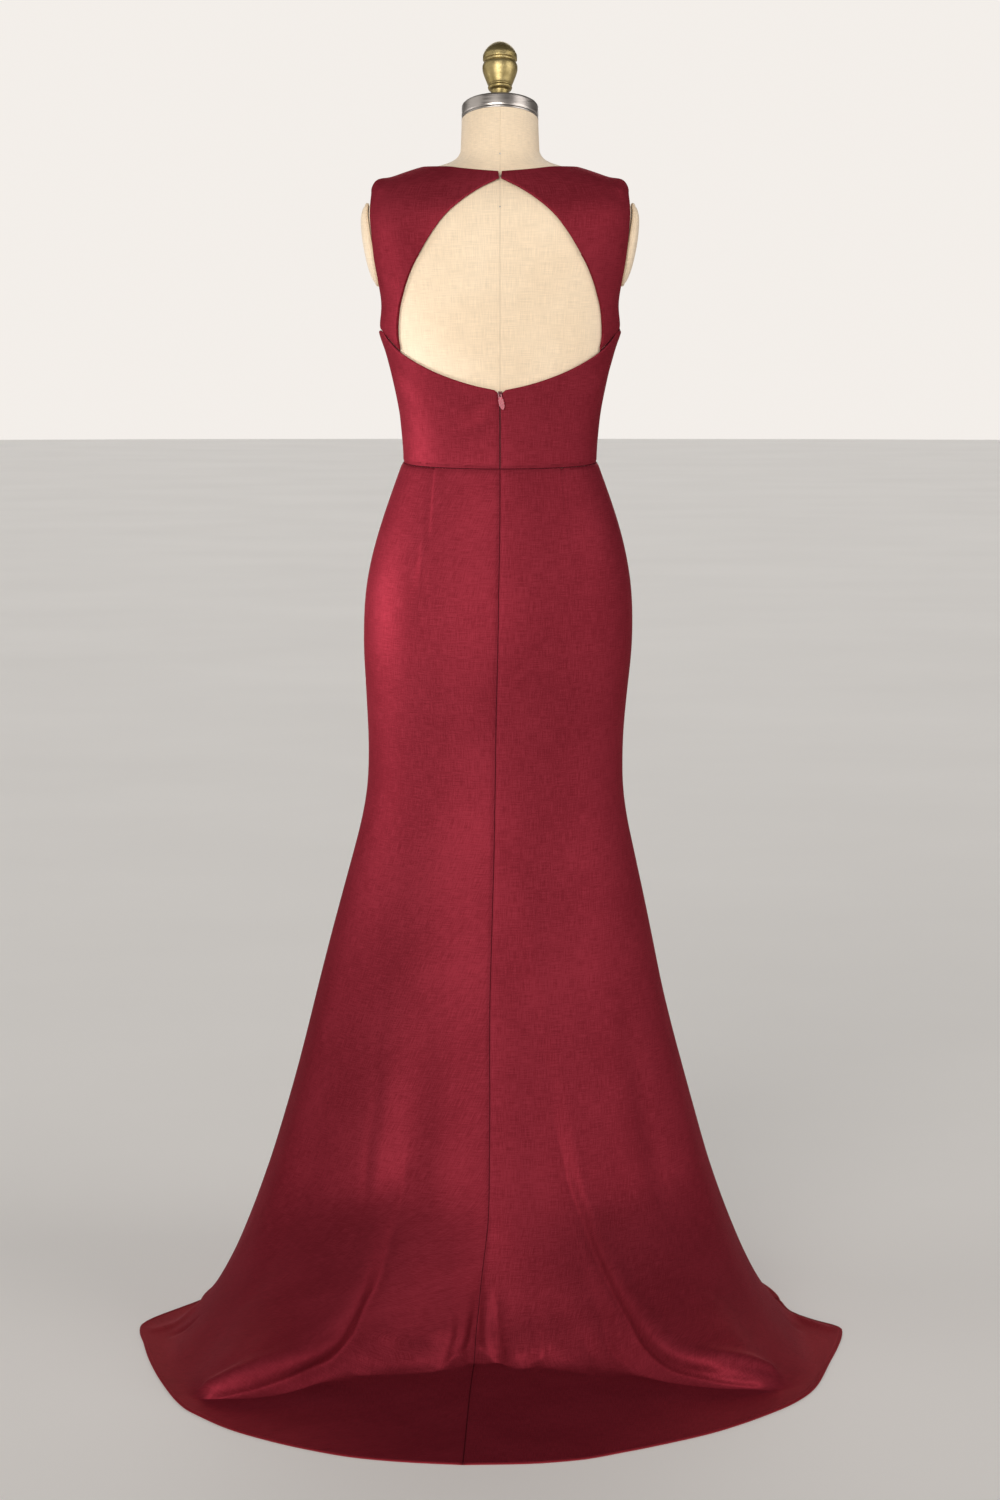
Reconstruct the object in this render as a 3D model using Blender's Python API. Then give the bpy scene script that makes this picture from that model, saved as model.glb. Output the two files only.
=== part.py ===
"""A sleeveless fishtail maxi dress with a keyhole back and a train, on a linen dress form.

Metres, +Z up. The origin is on the floor, at the middle of the stand's base plate. The form
faces +Y, so the keyhole back, the zip and the train look towards -Y, and +X is its right side.
"""

import math

import bmesh
import bpy
import numpy as np

# Cloth
CLOTH = 0.0016          # thickness of the crepe
EASE = 0.0025           # space between the form and the cloth that lies on it
SEAM_GAP = 0.0003       # space left between two pieces at a seam
WAIST = 1.050           # height of the waist seam at the side seams
WAIST_DIP = 0.006       # how much lower the waist seam runs at the centre back

# The form, as horizontal sections. Front and back are the y of the centre front and centre
# back, side is the y of the side line, and roundness is 1 for an ellipse, less for a boxy one.
FORM_SECTIONS = (
    # height, half width, front, back, side, roundness
    (0.660, 0.1450, 0.098, -0.106, -0.004, 0.90),
    (0.740, 0.1500, 0.101, -0.114, -0.005, 0.90),
    (0.830, 0.1580, 0.103, -0.122, -0.006, 0.90),
    (0.880, 0.1585, 0.101, -0.120, -0.006, 0.90),
    (0.930, 0.1530, 0.098, -0.111, -0.005, 0.90),
    (0.980, 0.1400, 0.092, -0.100, -0.004, 0.90),
    (1.020, 0.1240, 0.085, -0.090, -0.002, 0.90),
    (1.050, 0.1155, 0.082, -0.085, 0.000, 0.90),
    (1.100, 0.1190, 0.085, -0.088, 0.000, 0.90),
    (1.160, 0.1300, 0.096, -0.096, -0.001, 0.88),
    (1.200, 0.1395, 0.105, -0.102, -0.003, 0.86),
    (1.245, 0.1430, 0.112, -0.107, -0.006, 0.84),
    (1.270, 0.1475, 0.108, -0.110, -0.008, 0.84),
    (1.300, 0.1545, 0.099, -0.113, -0.010, 0.84),
    (1.330, 0.1595, 0.086, -0.113, -0.012, 0.86),
    (1.352, 0.1612, 0.073, -0.109, -0.014, 0.90),
    (1.366, 0.1592, 0.061, -0.103, -0.015, 0.94),
    (1.377, 0.1545, 0.050, -0.096, -0.016, 1.00),
    (1.386, 0.1460, 0.041, -0.089, -0.018, 1.00),
    (1.394, 0.1310, 0.034, -0.083, -0.020, 1.00),
    (1.401, 0.1110, 0.030, -0.077, -0.021, 1.00),
    (1.4065, 0.0940, 0.028, -0.073, -0.021, 1.00),
    (1.4105, 0.0760, 0.028, -0.070, -0.020, 1.00),
    (1.4145, 0.0620, 0.030, -0.067, -0.018, 1.00),
    (1.420, 0.0530, 0.033, -0.064, -0.015, 1.00),
    (1.428, 0.0485, 0.036, -0.060, -0.012, 1.00),
)
BUST_HEIGHT, BUST_OUT, BUST_RISE = 1.240, 0.072, 0.016
BUST_SPREAD_X, BUST_SPREAD_Z = 0.042, 0.052

# The neck leans forward to the steel cap. Each ring is a circle tipped forward by its lean.
NECK_RINGS = (
    # height of its middle, y of its middle, radius, lean in degrees
    (1.4420, -0.0080, 0.0477, 7.0),
    (1.4560, -0.0030, 0.0472, 13.0),
    (1.4668, 0.0020, 0.0470, 18.0),
)
CAP_HEIGHT, CAP_RADIUS, CAP_EDGE = 0.0190, 0.0472, 0.0012
FINIAL_PROFILE = (
    # radius, height above the cap
    (0.0150, 0.0000), (0.0150, 0.0040), (0.0124, 0.0080), (0.0106, 0.0130), (0.0110, 0.0185),
    (0.0140, 0.0210), (0.0150, 0.0235), (0.0140, 0.0258), (0.0151, 0.0275), (0.0174, 0.0335),
    (0.0200, 0.0405), (0.0215, 0.0465), (0.0217, 0.0500), (0.0207, 0.0540), (0.0188, 0.0562),
    (0.0190, 0.0578), (0.0211, 0.0600), (0.0211, 0.0640), (0.0190, 0.0700), (0.0150, 0.0755),
    (0.0100, 0.0797), (0.0050, 0.0822),
)
FINIAL_TOP = 0.0830

# The skirt's wrong side, as horizontal sections down to the knee and the flare.
SKIRT_SECTIONS = (
    # height, half width, front, back, side, roundness, drift of its middle along x
    (1.052, 0.1183, 0.0853, -0.0883, 0.000, 0.90, 0.0000),
    (1.020, 0.1300, 0.0905, -0.0965, -0.002, 0.90, 0.0000),
    (0.980, 0.1438, 0.0965, -0.1045, -0.004, 0.90, 0.0000),
    (0.930, 0.1575, 0.1025, -0.1155, -0.005, 0.90, -0.0010),
    (0.880, 0.1646, 0.1058, -0.1246, -0.006, 0.90, -0.0018),
    (0.830, 0.1656, 0.1080, -0.1282, -0.006, 0.90, -0.0025),
    (0.780, 0.1617, 0.1090, -0.1262, -0.006, 0.92, -0.0037),
    (0.730, 0.1582, 0.1090, -0.1222, -0.006, 0.95, -0.0050),
    (0.680, 0.1560, 0.1090, -0.1192, -0.006, 0.98, -0.0055),
    (0.630, 0.1598, 0.1110, -0.1212, -0.006, 1.02, -0.0063),
    (0.580, 0.1706, 0.1160, -0.1285, -0.007, 1.06, -0.0072),
    (0.480, 0.1950, 0.1330, -0.1530, -0.009, 1.10, -0.0100),
    (0.380, 0.2180, 0.1540, -0.1820, -0.012, 1.12, -0.0126),
    (0.280, 0.2440, 0.1790, -0.2170, -0.015, 1.08, -0.0122),
    (0.170, 0.2762, 0.2080, -0.2600, -0.018, 1.00, -0.0133),
    (0.065, 0.3120, 0.2400, -0.3120, -0.030, 1.00, -0.0140),
    (0.000, 0.3350, 0.2650, -0.3550, -0.045, 1.00, -0.0146),
)
ROW_HEIGHTS = (1.020, 0.990, 0.960, 0.925, 0.890, 0.855, 0.820, 0.780, 0.740, 0.700, 0.660, 0.615,
               0.570, 0.520, 0.460, 0.400, 0.340, 0.285, 0.230)
ROWS_TO_LOW, ROWS_TO_CREST, ROWS_TO_FOOT, ROWS_TO_HEM = 2, 3, 3, 6
LOWEST_RING = 0.170     # below this height the back and the sides follow the tables of the train
FRONT_HEIGHTS = 0.120, 0.075, 0.036, 0.0    # the front comes straight down through these rings
BACK_COLUMNS, FRONT_COLUMNS = 18, 21
SIDE_BLEND = 0.45       # share from the centre front past which the front follows the side seams

# How the back of the skirt comes down to the floor, one row for each line from the centre
# back seam (share 0) to a side seam (share 1). The cloth passes three places, low, crest and
# foot, and lies flat on the floor from the foot to the hem.
TRAIN_LEFT = (
    # share, low x, y, z, crest x, y, z, foot x, y, hem x, y
    (0.00, -0.022, -0.288, 0.090, -0.028, -0.316, 0.030, -0.031, -0.345, -0.040, -0.720),
    (0.08, -0.066, -0.306, 0.090, -0.072, -0.344, 0.036, -0.076, -0.374, -0.099, -0.711),
    (0.16, -0.108, -0.306, 0.090, -0.116, -0.344, 0.036, -0.120, -0.376, -0.156, -0.695),
    (0.24, -0.144, -0.308, 0.092, -0.158, -0.350, 0.046, -0.166, -0.396, -0.208, -0.667),
    (0.32, -0.178, -0.338, 0.084, -0.197, -0.391, 0.042, -0.203, -0.410, -0.254, -0.634),
    (0.40, -0.214, -0.352, 0.078, -0.243, -0.446, 0.032, -0.249, -0.462, -0.301, -0.591),
    (0.47, -0.240, -0.342, 0.075, -0.298, -0.472, 0.024, -0.304, -0.486, -0.336, -0.545),
    (0.53, -0.262, -0.322, 0.074, -0.330, -0.470, 0.013, -0.340, -0.486, -0.358, -0.510),
    (0.65, -0.298, -0.240, 0.072, -0.352, -0.370, 0.012, -0.378, -0.408, -0.388, -0.424),
    (0.80, -0.322, -0.140, 0.068, -0.374, -0.250, 0.012, -0.400, -0.300, -0.415, -0.319),
    (0.88, -0.330, -0.085, 0.066, -0.374, -0.165, 0.013, -0.405, -0.215, -0.429, -0.245),
    (0.941, -0.331, -0.048, 0.065, -0.368, -0.095, 0.014, -0.396, -0.130, -0.440, -0.172),
    (1.00, -0.330, -0.018, 0.065, -0.355, -0.032, 0.018, -0.364, -0.039, -0.376, -0.051),
)
TRAIN_RIGHT = (
    # share, low x, y, z, crest x, y, z, foot x, y, hem x, y
    (0.00, -0.022, -0.288, 0.090, -0.028, -0.316, 0.030, -0.031, -0.345, -0.040, -0.720),
    (0.08, 0.024, -0.300, 0.090, 0.022, -0.334, 0.034, 0.022, -0.366, 0.022, -0.717),
    (0.16, 0.064, -0.298, 0.090, 0.068, -0.332, 0.036, 0.070, -0.364, 0.082, -0.704),
    (0.24, 0.102, -0.296, 0.092, 0.112, -0.334, 0.046, 0.120, -0.376, 0.137, -0.674),
    (0.32, 0.134, -0.322, 0.086, 0.150, -0.364, 0.044, 0.156, -0.383, 0.192, -0.638),
    (0.40, 0.168, -0.332, 0.080, 0.194, -0.404, 0.036, 0.201, -0.421, 0.239, -0.602),
    (0.50, 0.212, -0.320, 0.076, 0.256, -0.430, 0.028, 0.265, -0.446, 0.293, -0.546),
    (0.60, 0.246, -0.288, 0.074, 0.302, -0.432, 0.018, 0.314, -0.449, 0.337, -0.488),
    (0.68, 0.266, -0.242, 0.072, 0.324, -0.392, 0.012, 0.348, -0.424, 0.362, -0.436),
    (0.80, 0.290, -0.158, 0.070, 0.346, -0.280, 0.012, 0.374, -0.318, 0.389, -0.330),
    (0.882, 0.300, -0.090, 0.066, 0.345, -0.160, 0.013, 0.374, -0.180, 0.417, -0.186),
    (0.941, 0.302, -0.050, 0.065, 0.338, -0.085, 0.014, 0.355, -0.110, 0.365, -0.126),
    (1.00, 0.303, -0.022, 0.065, 0.328, -0.034, 0.018, 0.341, -0.042, 0.352, -0.050),
)

# The largest folds of the back, each a soft trough (depth below 0) or ridge down the skirt.
FOLDS = (
    # side, share at its top and foot, height of its top and foot, half width in share, depth
    (-1, 0.22, 0.26, 0.46, 0.09, 0.075, -0.011),
    (-1, 0.42, 0.44, 0.52, 0.12, 0.110, 0.006),
    (-1, 0.74, 0.72, 0.60, 0.12, 0.100, 0.006),
    (1, 0.17, 0.23, 0.48, 0.09, 0.070, -0.011),
    (1, 0.38, 0.42, 0.50, 0.12, 0.110, 0.006),
    (1, 0.76, 0.74, 0.60, 0.12, 0.100, 0.005),
)

# Edges of the bodice pieces on the form: degrees round from the centre back, and height.
KEYHOLE_EDGE = (
    # x of the edge, height
    (0.1215, 1.1885), (0.1240, 1.200), (0.1245, 1.212), (0.1226, 1.236), (0.1168, 1.260),
    (0.1080, 1.284), (0.0950, 1.3076), (0.0796, 1.3314), (0.0588, 1.3552), (0.0242, 1.3800),
    (0.0012, 1.3912),
)
ARMHOLE_BACK = ((83.0, 1.2150), (82.0, 1.2400), (80.0, 1.2700), (76.5, 1.3050), (74.5, 1.3350),
                (75.0, 1.3550), (78.5, 1.3720), (90.0, 1.3850))
ARMHOLE_FRONT = ((90.0, 1.2120), (99.0, 1.2220), (105.0, 1.2450), (109.0, 1.2800),
                 (111.0, 1.3200), (109.0, 1.3520), (104.0, 1.3700), (90.0, 1.3850))
NECK_CORNER = (90.0, 1.4065)
NECKLINE_BACK = ((90.0, 1.4065), (45.0, 1.4062), (22.0, 1.4035), (1.0, 1.3995))
NECKLINE_FRONT = ((90.0, 1.4065), (112.0, 1.3980), (135.0, 1.3730), (158.0, 1.3540),
                  (180.0, 1.3480))
UNDERARM = (90.0, 1.2120)
YOKE_FOOT = ((83.0, 1.2130), (72.0, 1.2010), (60.5, 1.1885))
TOP_OF_BACK = ((90.0, 1.2120), (83.0, 1.2120), (72.0, 1.1990), (60.5, 1.1855), (50.0, 1.1745),
               (34.0, 1.1595), (15.0, 1.1460), (2.0, 1.1400))

NOTCH_FOOT = 0.955      # share of the way up the centre back where the edges part to a small V

# The ease grows at two places: where the lower corner of the armhole stands away from the form,
# and at the hook, where wire lies under the cloth.
ARM_CORNER_TURN, ARM_CORNER_HEIGHT, ARM_CORNER_OUT = 88.0, 1.216, 0.0050
HOOK_HEIGHT, HOOK_OUT = 1.3955, 0.0014
ARM_CORNER_SPREAD, HOOK_SPREAD = (11, 0.019), (12, 0.013)     # degrees, metres

# Zip, with the pull hanging on a bail that arches out from the slider
ZIP_HEIGHT = 1.1350      # middle of the slider
SLIDER_WIDE, SLIDER_THICK, SLIDER_TALL = 0.0050, 0.0022, 0.0066
WIRE = 0.00045           # half the thickness of the bail and of the pull's top bar
BAIL_REACH = 0.00135     # from the pull's hinge line to the middle of the bail's wire
HINGE_OUT = 0.00080      # from the slider's face to the hinge line
HINGE_DROP = 0.0008      # from the middle of the slider down to the hinge line
SLIDER_BEVEL = 0.0004
SLIDER_CLEAR = 0.0007    # from the cloth to the back of the slider, where the zip's tape lies
PULL_THICK, PULL_SLANT, PULL_SLANT_FROM = 0.0009, 0.20, 0.001
WINDOW_WIDE, WINDOW_TALL = 0.0017, 0.0026
PULL_PROFILE = (
    # distance below the hinge line, half width
    (-WIRE, 0.0019), (WIRE, 0.0019), (0.0012, 0.0019), (0.0019, 0.0020), (0.00265, 0.0021),
    (0.0042, 0.0026), (0.0070, 0.0031), (0.0100, 0.0033), (0.0130, 0.0031), (0.0155, 0.0024),
    (0.0172, 0.0013), (0.0180, 0.0005),
)

# Hook and eye, of round wire, lying between the form and the two upper back pieces
HOOK_WIRE = 0.00035
HOOK_LINE = (
    # x, distance out from the form
    (-0.0075, 0.00265), (-0.0045, 0.00265), (-0.0015, 0.00265), (0.0011, 0.00265),
    (0.0018, 0.00237), (0.00215, 0.00165), (0.0018, 0.00093), (0.0011, 0.00068), (-0.0004, 0.00068),
)
EYE_OUT, EYE_BEND_X, EYE_BEND_WIDE, EYE_HALF_TALL = 0.00165, 0.0031, 0.0020, 0.0022
EYE_LEGS = (0.0055, 0.0080)     # x of the points along each leg of the eye

# The form's arm pads, ovals round the middle of each arm opening
ARM_PAD_TURN, ARM_PAD_HEIGHT, ARM_PAD_HALF_TURN, ARM_PAD_HALF_TALL = 92.0, 1.316, 13.0, 0.050
ARM_PAD_PROFILE = (
    # share of the oval's size, distance out from the form
    (0.001, 0.0012), (0.55, 0.0012), (0.92, 0.0012), (1.00, 0.0026), (0.99, 0.0052), (0.90, 0.0078),
    (0.60, 0.0096), (0.001, 0.0104),
)

# Stand
BASE_RADIUS, BASE_THICK = 0.170, 0.012
SOCKET_RADIUS, SOCKET_TOP, SOCKET_DEPTH = 0.030, 0.060, 0.054
POLE_RADIUS = 0.016
BASE_BEVEL, BASE_CROWN, SOCKET_FILLET, SOCKET_TAPER = 0.003, 0.002, 0.006, 0.004
FLANGE_RADIUS, FLANGE_THICK = 0.055, 0.006

BURGUNDY = (0.215, 0.020, 0.043, 1)
LINEN = (0.74, 0.60, 0.42, 1)
STEEL = (0.52, 0.50, 0.48, 1)
BRASS = (0.38, 0.30, 0.13, 1)
LACQUER = (0.30, 0.03, 0.06, 1)
BLACK_IRON = (0.03, 0.03, 0.032, 1)


def smooth_through(knots, values, at):
    """Values at the places asked for, on a curve through the knots that never overshoots."""
    knots = np.asarray(knots, float)
    values = np.asarray(values, float)
    at = np.clip(np.asarray(at, float), knots[0], knots[-1])
    step = np.diff(knots)
    rise = np.diff(values, axis=0) / (step if values.ndim == 1 else step[:, None])
    slope = np.zeros_like(values)
    inner = np.zeros_like(rise[1:])
    same = rise[1:] * rise[:-1] > 0
    np.divide(2 * rise[1:] * rise[:-1], rise[1:] + rise[:-1], out=inner, where=same)
    slope[1:-1], slope[0], slope[-1] = inner, rise[0], rise[-1]
    span = np.clip(np.searchsorted(knots, at, side="right") - 1, 0, len(step) - 1)
    width = step[span]
    part = (at - knots[span]) / width
    if values.ndim > 1:
        width, part = width[..., None], part[..., None]
    start, end = values[span], values[span + 1]
    lead, trail = slope[span] * width, slope[span + 1] * width
    square, cube = part**2, part**3
    return ((2 * cube - 3 * square + 1) * start + (cube - 2 * square + part) * lead
            + (3 * square - 2 * cube) * end + (cube - square) * trail)


def section(table, height):
    """The columns of a table of sections at these heights, lowest height first."""
    rows = np.array(sorted(table))
    return [smooth_through(rows[:, 0], column, height) for column in rows[:, 1:].T]


def form_surface(turn, height):
    """Points of the form, turned by degrees from the centre back, with +X at +90."""
    turn, height = np.broadcast_arrays(np.radians(turn), np.asarray(height, float))
    half, front, back, side, roundness = section(FORM_SECTIONS, height)
    x = half * np.sin(turn)
    bow = np.abs(np.cos(turn)) ** roundness
    bust = BUST_RISE * np.exp(-((np.abs(x) - BUST_OUT) / BUST_SPREAD_X) ** 2
                              - ((height - BUST_HEIGHT) / BUST_SPREAD_Z) ** 2)
    ahead = side + (front - side + bust) * bow
    y = np.where(np.cos(turn) >= 0, side - (side - back) * bow, ahead)
    return np.stack([x, y, height], axis=-1)


def on_form(turn, height, out):
    """Points a distance out from the form's surface, along its normal."""
    small = 1e-3
    across = form_surface(turn + 0.5, height) - form_surface(turn - 0.5, height)
    up = form_surface(turn, height + small) - form_surface(turn, height - small)
    normal = np.cross(across, up)
    normal /= np.linalg.norm(normal, axis=-1, keepdims=True)
    return form_surface(turn, height) + np.asarray(out, float)[..., None] * normal


def ease(turn, height):
    """Space between the form and the cloth's wrong side."""
    corner = np.exp(-((turn - ARM_CORNER_TURN) / ARM_CORNER_SPREAD[0]) ** 2
                    - ((height - ARM_CORNER_HEIGHT) / ARM_CORNER_SPREAD[1]) ** 2)
    hook = np.exp(-(turn / HOOK_SPREAD[0]) ** 2 - ((height - HOOK_HEIGHT) / HOOK_SPREAD[1]) ** 2)
    return EASE + ARM_CORNER_OUT * corner + HOOK_OUT * hook


def evenly(points, count):
    """Points evenly spaced along a smooth curve through the ones given, both ends included.
    The first column is degrees, so it is weighed as a length on a form of 0.13 m."""
    points = np.asarray(points, float)
    lengths = points * (np.radians(0.13), 1.0)
    knots = np.concatenate([[0.0], np.cumsum(np.linalg.norm(np.diff(lengths, axis=0), axis=1))])
    return smooth_through(knots, points, np.linspace(0, knots[-1], count))


def inset(inner, outer, edge, distance):
    """Moves one edge of a wall in along its surface by a distance, square to the edge."""
    turn = edge.endswith("column")
    own, near = (0, 1) if edge.startswith("first") else (-1, -2)
    below, above = (np.swapaxes(grid, 0, 1) if turn else grid for grid in (inner, outer))
    line, through = below[own], above[own] - below[own]
    inward = np.cross(np.gradient(line, axis=0), through)
    inward *= distance / np.linalg.norm(inward, axis=-1, keepdims=True)
    inward *= np.sign(np.sum(inward * (below[near] - line), axis=-1, keepdims=True))
    below[own] += inward
    above[own] += inward


def coons(bottom, top, left, right):
    """A grid of rows and columns that fills the space between four edges."""
    u = np.linspace(0, 1, len(bottom))[None, :, None]
    v = np.linspace(0, 1, len(left))[:, None, None]
    ruled = (1 - v) * bottom[None] + v * top[None] + (1 - u) * left[:, None] + u * right[:, None]
    corners = ((1 - u) * (1 - v) * bottom[0] + u * (1 - v) * bottom[-1]
               + (1 - u) * v * top[0] + u * v * top[-1])
    return ruled - corners


def material(name, colour, roughness, metallic=0.0):
    """A Principled material, made once and shared."""
    made = bpy.data.materials.get(name)
    if made is None:
        made = bpy.data.materials.new(name)
        made.use_nodes = True
        shader = made.node_tree.nodes["Principled BSDF"]
        shader.inputs["Base Color"].default_value = colour
        shader.inputs["Roughness"].default_value = roughness
        shader.inputs["Metallic"].default_value = metallic
    return made


def place(name, points, faces, finish, sharp=35):
    """A named object from points and faces, with its normals made to point outwards."""
    mesh = bpy.data.meshes.new(name)
    mesh.from_pydata([tuple(map(float, p)) for p in points], [], [tuple(map(int, f)) for f in faces])
    work = bmesh.new()
    work.from_mesh(mesh)
    bmesh.ops.recalc_face_normals(work, faces=work.faces)
    work.to_mesh(mesh)
    work.free()
    mesh.shade_smooth()
    mesh.set_sharp_from_angle(angle=math.radians(sharp))
    mesh.materials.append(material(*finish))
    made = bpy.data.objects.new(name, mesh)
    bpy.context.scene.collection.objects.link(made)
    return made


def wall(name, inner, outer, finish):
    """A closed wall between two grids of the same size, with rims along its four edges. Each rim is
    split the same way seen from either side, so two rims at a seam stay parallel."""
    rows, columns = inner.shape[:2]
    number = np.arange(rows * columns).reshape(rows, columns)
    below, above = number[:-1], number[1:]
    quads = np.stack([below[:, :-1], below[:, 1:], above[:, 1:], above[:, :-1]], -1).reshape(-1, 4)
    loop = np.concatenate([number[0, :-1], number[:-1, -1], number[-1, :0:-1], number[:0:-1, 0]])
    following = np.roll(loop, -1)
    far = rows * columns
    down = loop > following
    rim = np.concatenate([np.stack([loop, following, np.where(down, following, loop) + far], -1),
                          np.stack([np.where(down, loop, following), following + far, loop + far], -1)])
    faces = [*quads[:, ::-1], *(quads + far), *rim]
    points = np.concatenate([inner.reshape(-1, 3), outer.reshape(-1, 3)])
    return place(name, points, faces, finish)


def skin(name, rings, finish, sharp=35):
    """A closed skin over rings of the same count of points, capped at both ends."""
    rings = np.asarray(rings)
    count, around = rings.shape[:2]
    number = np.arange(count * around).reshape(count, around)
    turned = np.roll(number, -1, axis=1)
    sides = np.stack([number[:-1], turned[:-1], turned[1:], number[1:]], -1).reshape(-1, 4)
    faces = [*sides, number[0, ::-1], number[-1]]
    return place(name, rings.reshape(-1, 3), faces, finish, sharp)


def turned(name, profile, around, finish, top=None, sharp=35):
    """A solid of revolution about Z. The profile runs from the axis's foot to its top."""
    angle = np.linspace(0, 2 * np.pi, around, endpoint=False)
    rings = [np.stack([r * np.cos(angle), r * np.sin(angle), np.full(around, z)], -1)
             for r, z in profile]
    if top is None:
        return skin(name, rings, finish, sharp)
    rings = np.asarray(rings)
    count = len(rings)
    number = np.arange(count * around).reshape(count, around)
    after = np.roll(number, -1, axis=1)
    sides = np.stack([number[:-1], after[:-1], after[1:], number[1:]], -1).reshape(-1, 4)
    tip = count * around
    fan = [(a, b, tip) for a, b in zip(number[-1], after[-1])]
    return place(name, [*rings.reshape(-1, 3), (0, 0, top)], [*sides, *fan, number[0, ::-1]], finish, sharp)


def mirrored(grid, side):
    """A grid for the right side (+1), or its mirror image for the left side (-1)."""
    return grid if side > 0 else grid * (-1, 1, 1)


# The form
LINEN_COVER = ("linen_cover", LINEN, 0.85)
CREPE = ("crepe", BURGUNDY, 0.55)
BRUSHED_STEEL = ("brushed_steel", STEEL, 0.3, 1.0)


def neck_frame():
    """The middle of the neck's top ring, its upward direction and its lean in radians."""
    height, y, _, lean = NECK_RINGS[-1]
    lean = math.radians(lean)
    return np.array([0.0, y, height]), np.array([0.0, math.sin(lean), math.cos(lean)]), lean


def build_torso():
    """Torso and neck in one: horizontal rings, then tipped rings up to the cap."""
    heights = np.concatenate([np.linspace(0.66, 1.34, 23), [1.352, 1.360, 1.368, 1.376, 1.382, 1.388,
                              1.394, 1.400, 1.4045, 1.4085, 1.412, 1.416, 1.421, 1.428]])
    turn = np.linspace(0, 360, 36, endpoint=False)
    rings = [form_surface((turn + 180) % 360 - 180, z) for z in heights]
    angle = np.radians(turn)
    for height, y, radius, lean in NECK_RINGS:
        tip = math.radians(lean)
        rings.append(np.stack([radius * np.sin(angle), y - radius * np.cos(angle) * math.cos(tip),
                               height + radius * np.cos(angle) * math.sin(tip)], -1))
    return skin("form_torso", rings, LINEN_COVER)


def build_cap_and_finial():
    """A steel cap on the neck and a turned brass finial on it, both tipped with the neck."""
    middle, up, lean = neck_frame()
    rim = CAP_RADIUS - CAP_EDGE
    cap = turned("form_neck_cap", ((rim, 0), (CAP_RADIUS, CAP_EDGE), (CAP_RADIUS, CAP_HEIGHT - CAP_EDGE),
                                   (rim, CAP_HEIGHT)), 40, BRUSHED_STEEL)
    finial = turned("form_finial", FINIAL_PROFILE, 24, ("aged_brass", BRASS, 0.35, 1.0), FINIAL_TOP)
    for piece, above in ((cap, SEAM_GAP), (finial, CAP_HEIGHT + 2 * SEAM_GAP)):
        piece.location = middle + up * above
        piece.rotation_euler = (-lean, 0, 0)


def build_arm_plate(side, word):
    """An oval linen pad that fits the form's arm opening, with a rounded edge."""
    around = np.linspace(0, 2 * np.pi, 28, endpoint=False)
    rings = []
    for size, out in ARM_PAD_PROFILE:
        turn = ARM_PAD_TURN + ARM_PAD_HALF_TURN * size * np.cos(around)
        height = ARM_PAD_HEIGHT + ARM_PAD_HALF_TALL * size * np.sin(around)
        rings.append(on_form(turn, height, out) * (side, 1, 1))
    skin("form_arm_plate_" + word, rings, LINEN_COVER)


def build_stand():
    """Pole, flange under the form and round base plate with a socket for the pole."""
    iron = ("black_iron", BLACK_IRON, 0.45, 0.6)
    bore = POLE_RADIUS + SEAM_GAP
    floor = SOCKET_TOP - SOCKET_DEPTH
    shoulder = BASE_THICK + BASE_CROWN
    profile = ((BASE_RADIUS - BASE_BEVEL, 0), (BASE_RADIUS, BASE_BEVEL),
               (BASE_RADIUS, BASE_THICK - BASE_BEVEL), (BASE_RADIUS - BASE_BEVEL, BASE_THICK),
               (SOCKET_RADIUS + SOCKET_FILLET, shoulder), (SOCKET_RADIUS, shoulder + SOCKET_FILLET),
               (SOCKET_RADIUS - SOCKET_TAPER, SOCKET_TOP), (bore, SOCKET_TOP), (bore, floor))
    turned("stand_base", profile, 40, iron)
    flange_foot = FORM_SECTIONS[0][0] - SEAM_GAP - FLANGE_THICK
    turned("stand_pole", ((POLE_RADIUS, floor + SEAM_GAP), (POLE_RADIUS, flange_foot - SEAM_GAP)), 24,
           BRUSHED_STEEL)
    rim = (FLANGE_RADIUS, flange_foot), (FLANGE_RADIUS, flange_foot + FLANGE_THICK)
    turned("stand_flange", rim, 32, iron)


# The bodice
def bodice_piece(name, edges, insets, side=1):
    """A wall on the form, from a grid of degrees and heights, set in at its seams."""
    turn, height = edges[..., 0], edges[..., 1]
    inner = on_form(turn, height, ease(turn, height))
    outer = on_form(turn, height, ease(turn, height) + CLOTH)
    for edge, distance in insets.items():
        inset(inner, outer, edge, distance)
    return wall(name, mirrored(inner, side), mirrored(outer, side), CREPE)


def waist_line(turn):
    """Height of the waist seam, which dips a little towards the centre back."""
    behind = np.clip(1 - np.abs(turn) / 90, 0, 1)
    return WAIST - WAIST_DIP * (1 - (1 - behind) ** 2)


def edge_of_keyhole():
    """The keyhole's edge as degrees and heights, from its outer corner up to the hook."""
    x, height = np.array(KEYHOLE_EDGE).T
    half = section(FORM_SECTIONS, height)[0]
    return np.stack([np.degrees(np.arcsin(x / half)), height], -1)


def build_yokes():
    """The two upper back pieces, from the shoulder down beside the keyhole."""
    arm, shoulder, across = 12, 4, 9
    up_arm = evenly(ARMHOLE_BACK, arm)
    seam = evenly((ARMHOLE_BACK[-1], NECK_CORNER), shoulder + 1)[1:]
    outer_edge = np.concatenate([up_arm, seam])
    neckline = evenly(NECKLINE_BACK, across)
    foot = evenly(YOKE_FOOT, across)
    inner_edge = evenly(edge_of_keyhole(), arm + shoulder - 1)
    foot[-1] = inner_edge[0]
    inner_edge = np.concatenate([inner_edge, neckline[-1:]])
    grid = coons(foot, neckline, outer_edge, inner_edge)
    for side, word in ((-1, "left"), (1, "right")):
        bodice_piece("back_yoke_" + word, grid, {"first row": SEAM_GAP / 2}, side)


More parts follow.
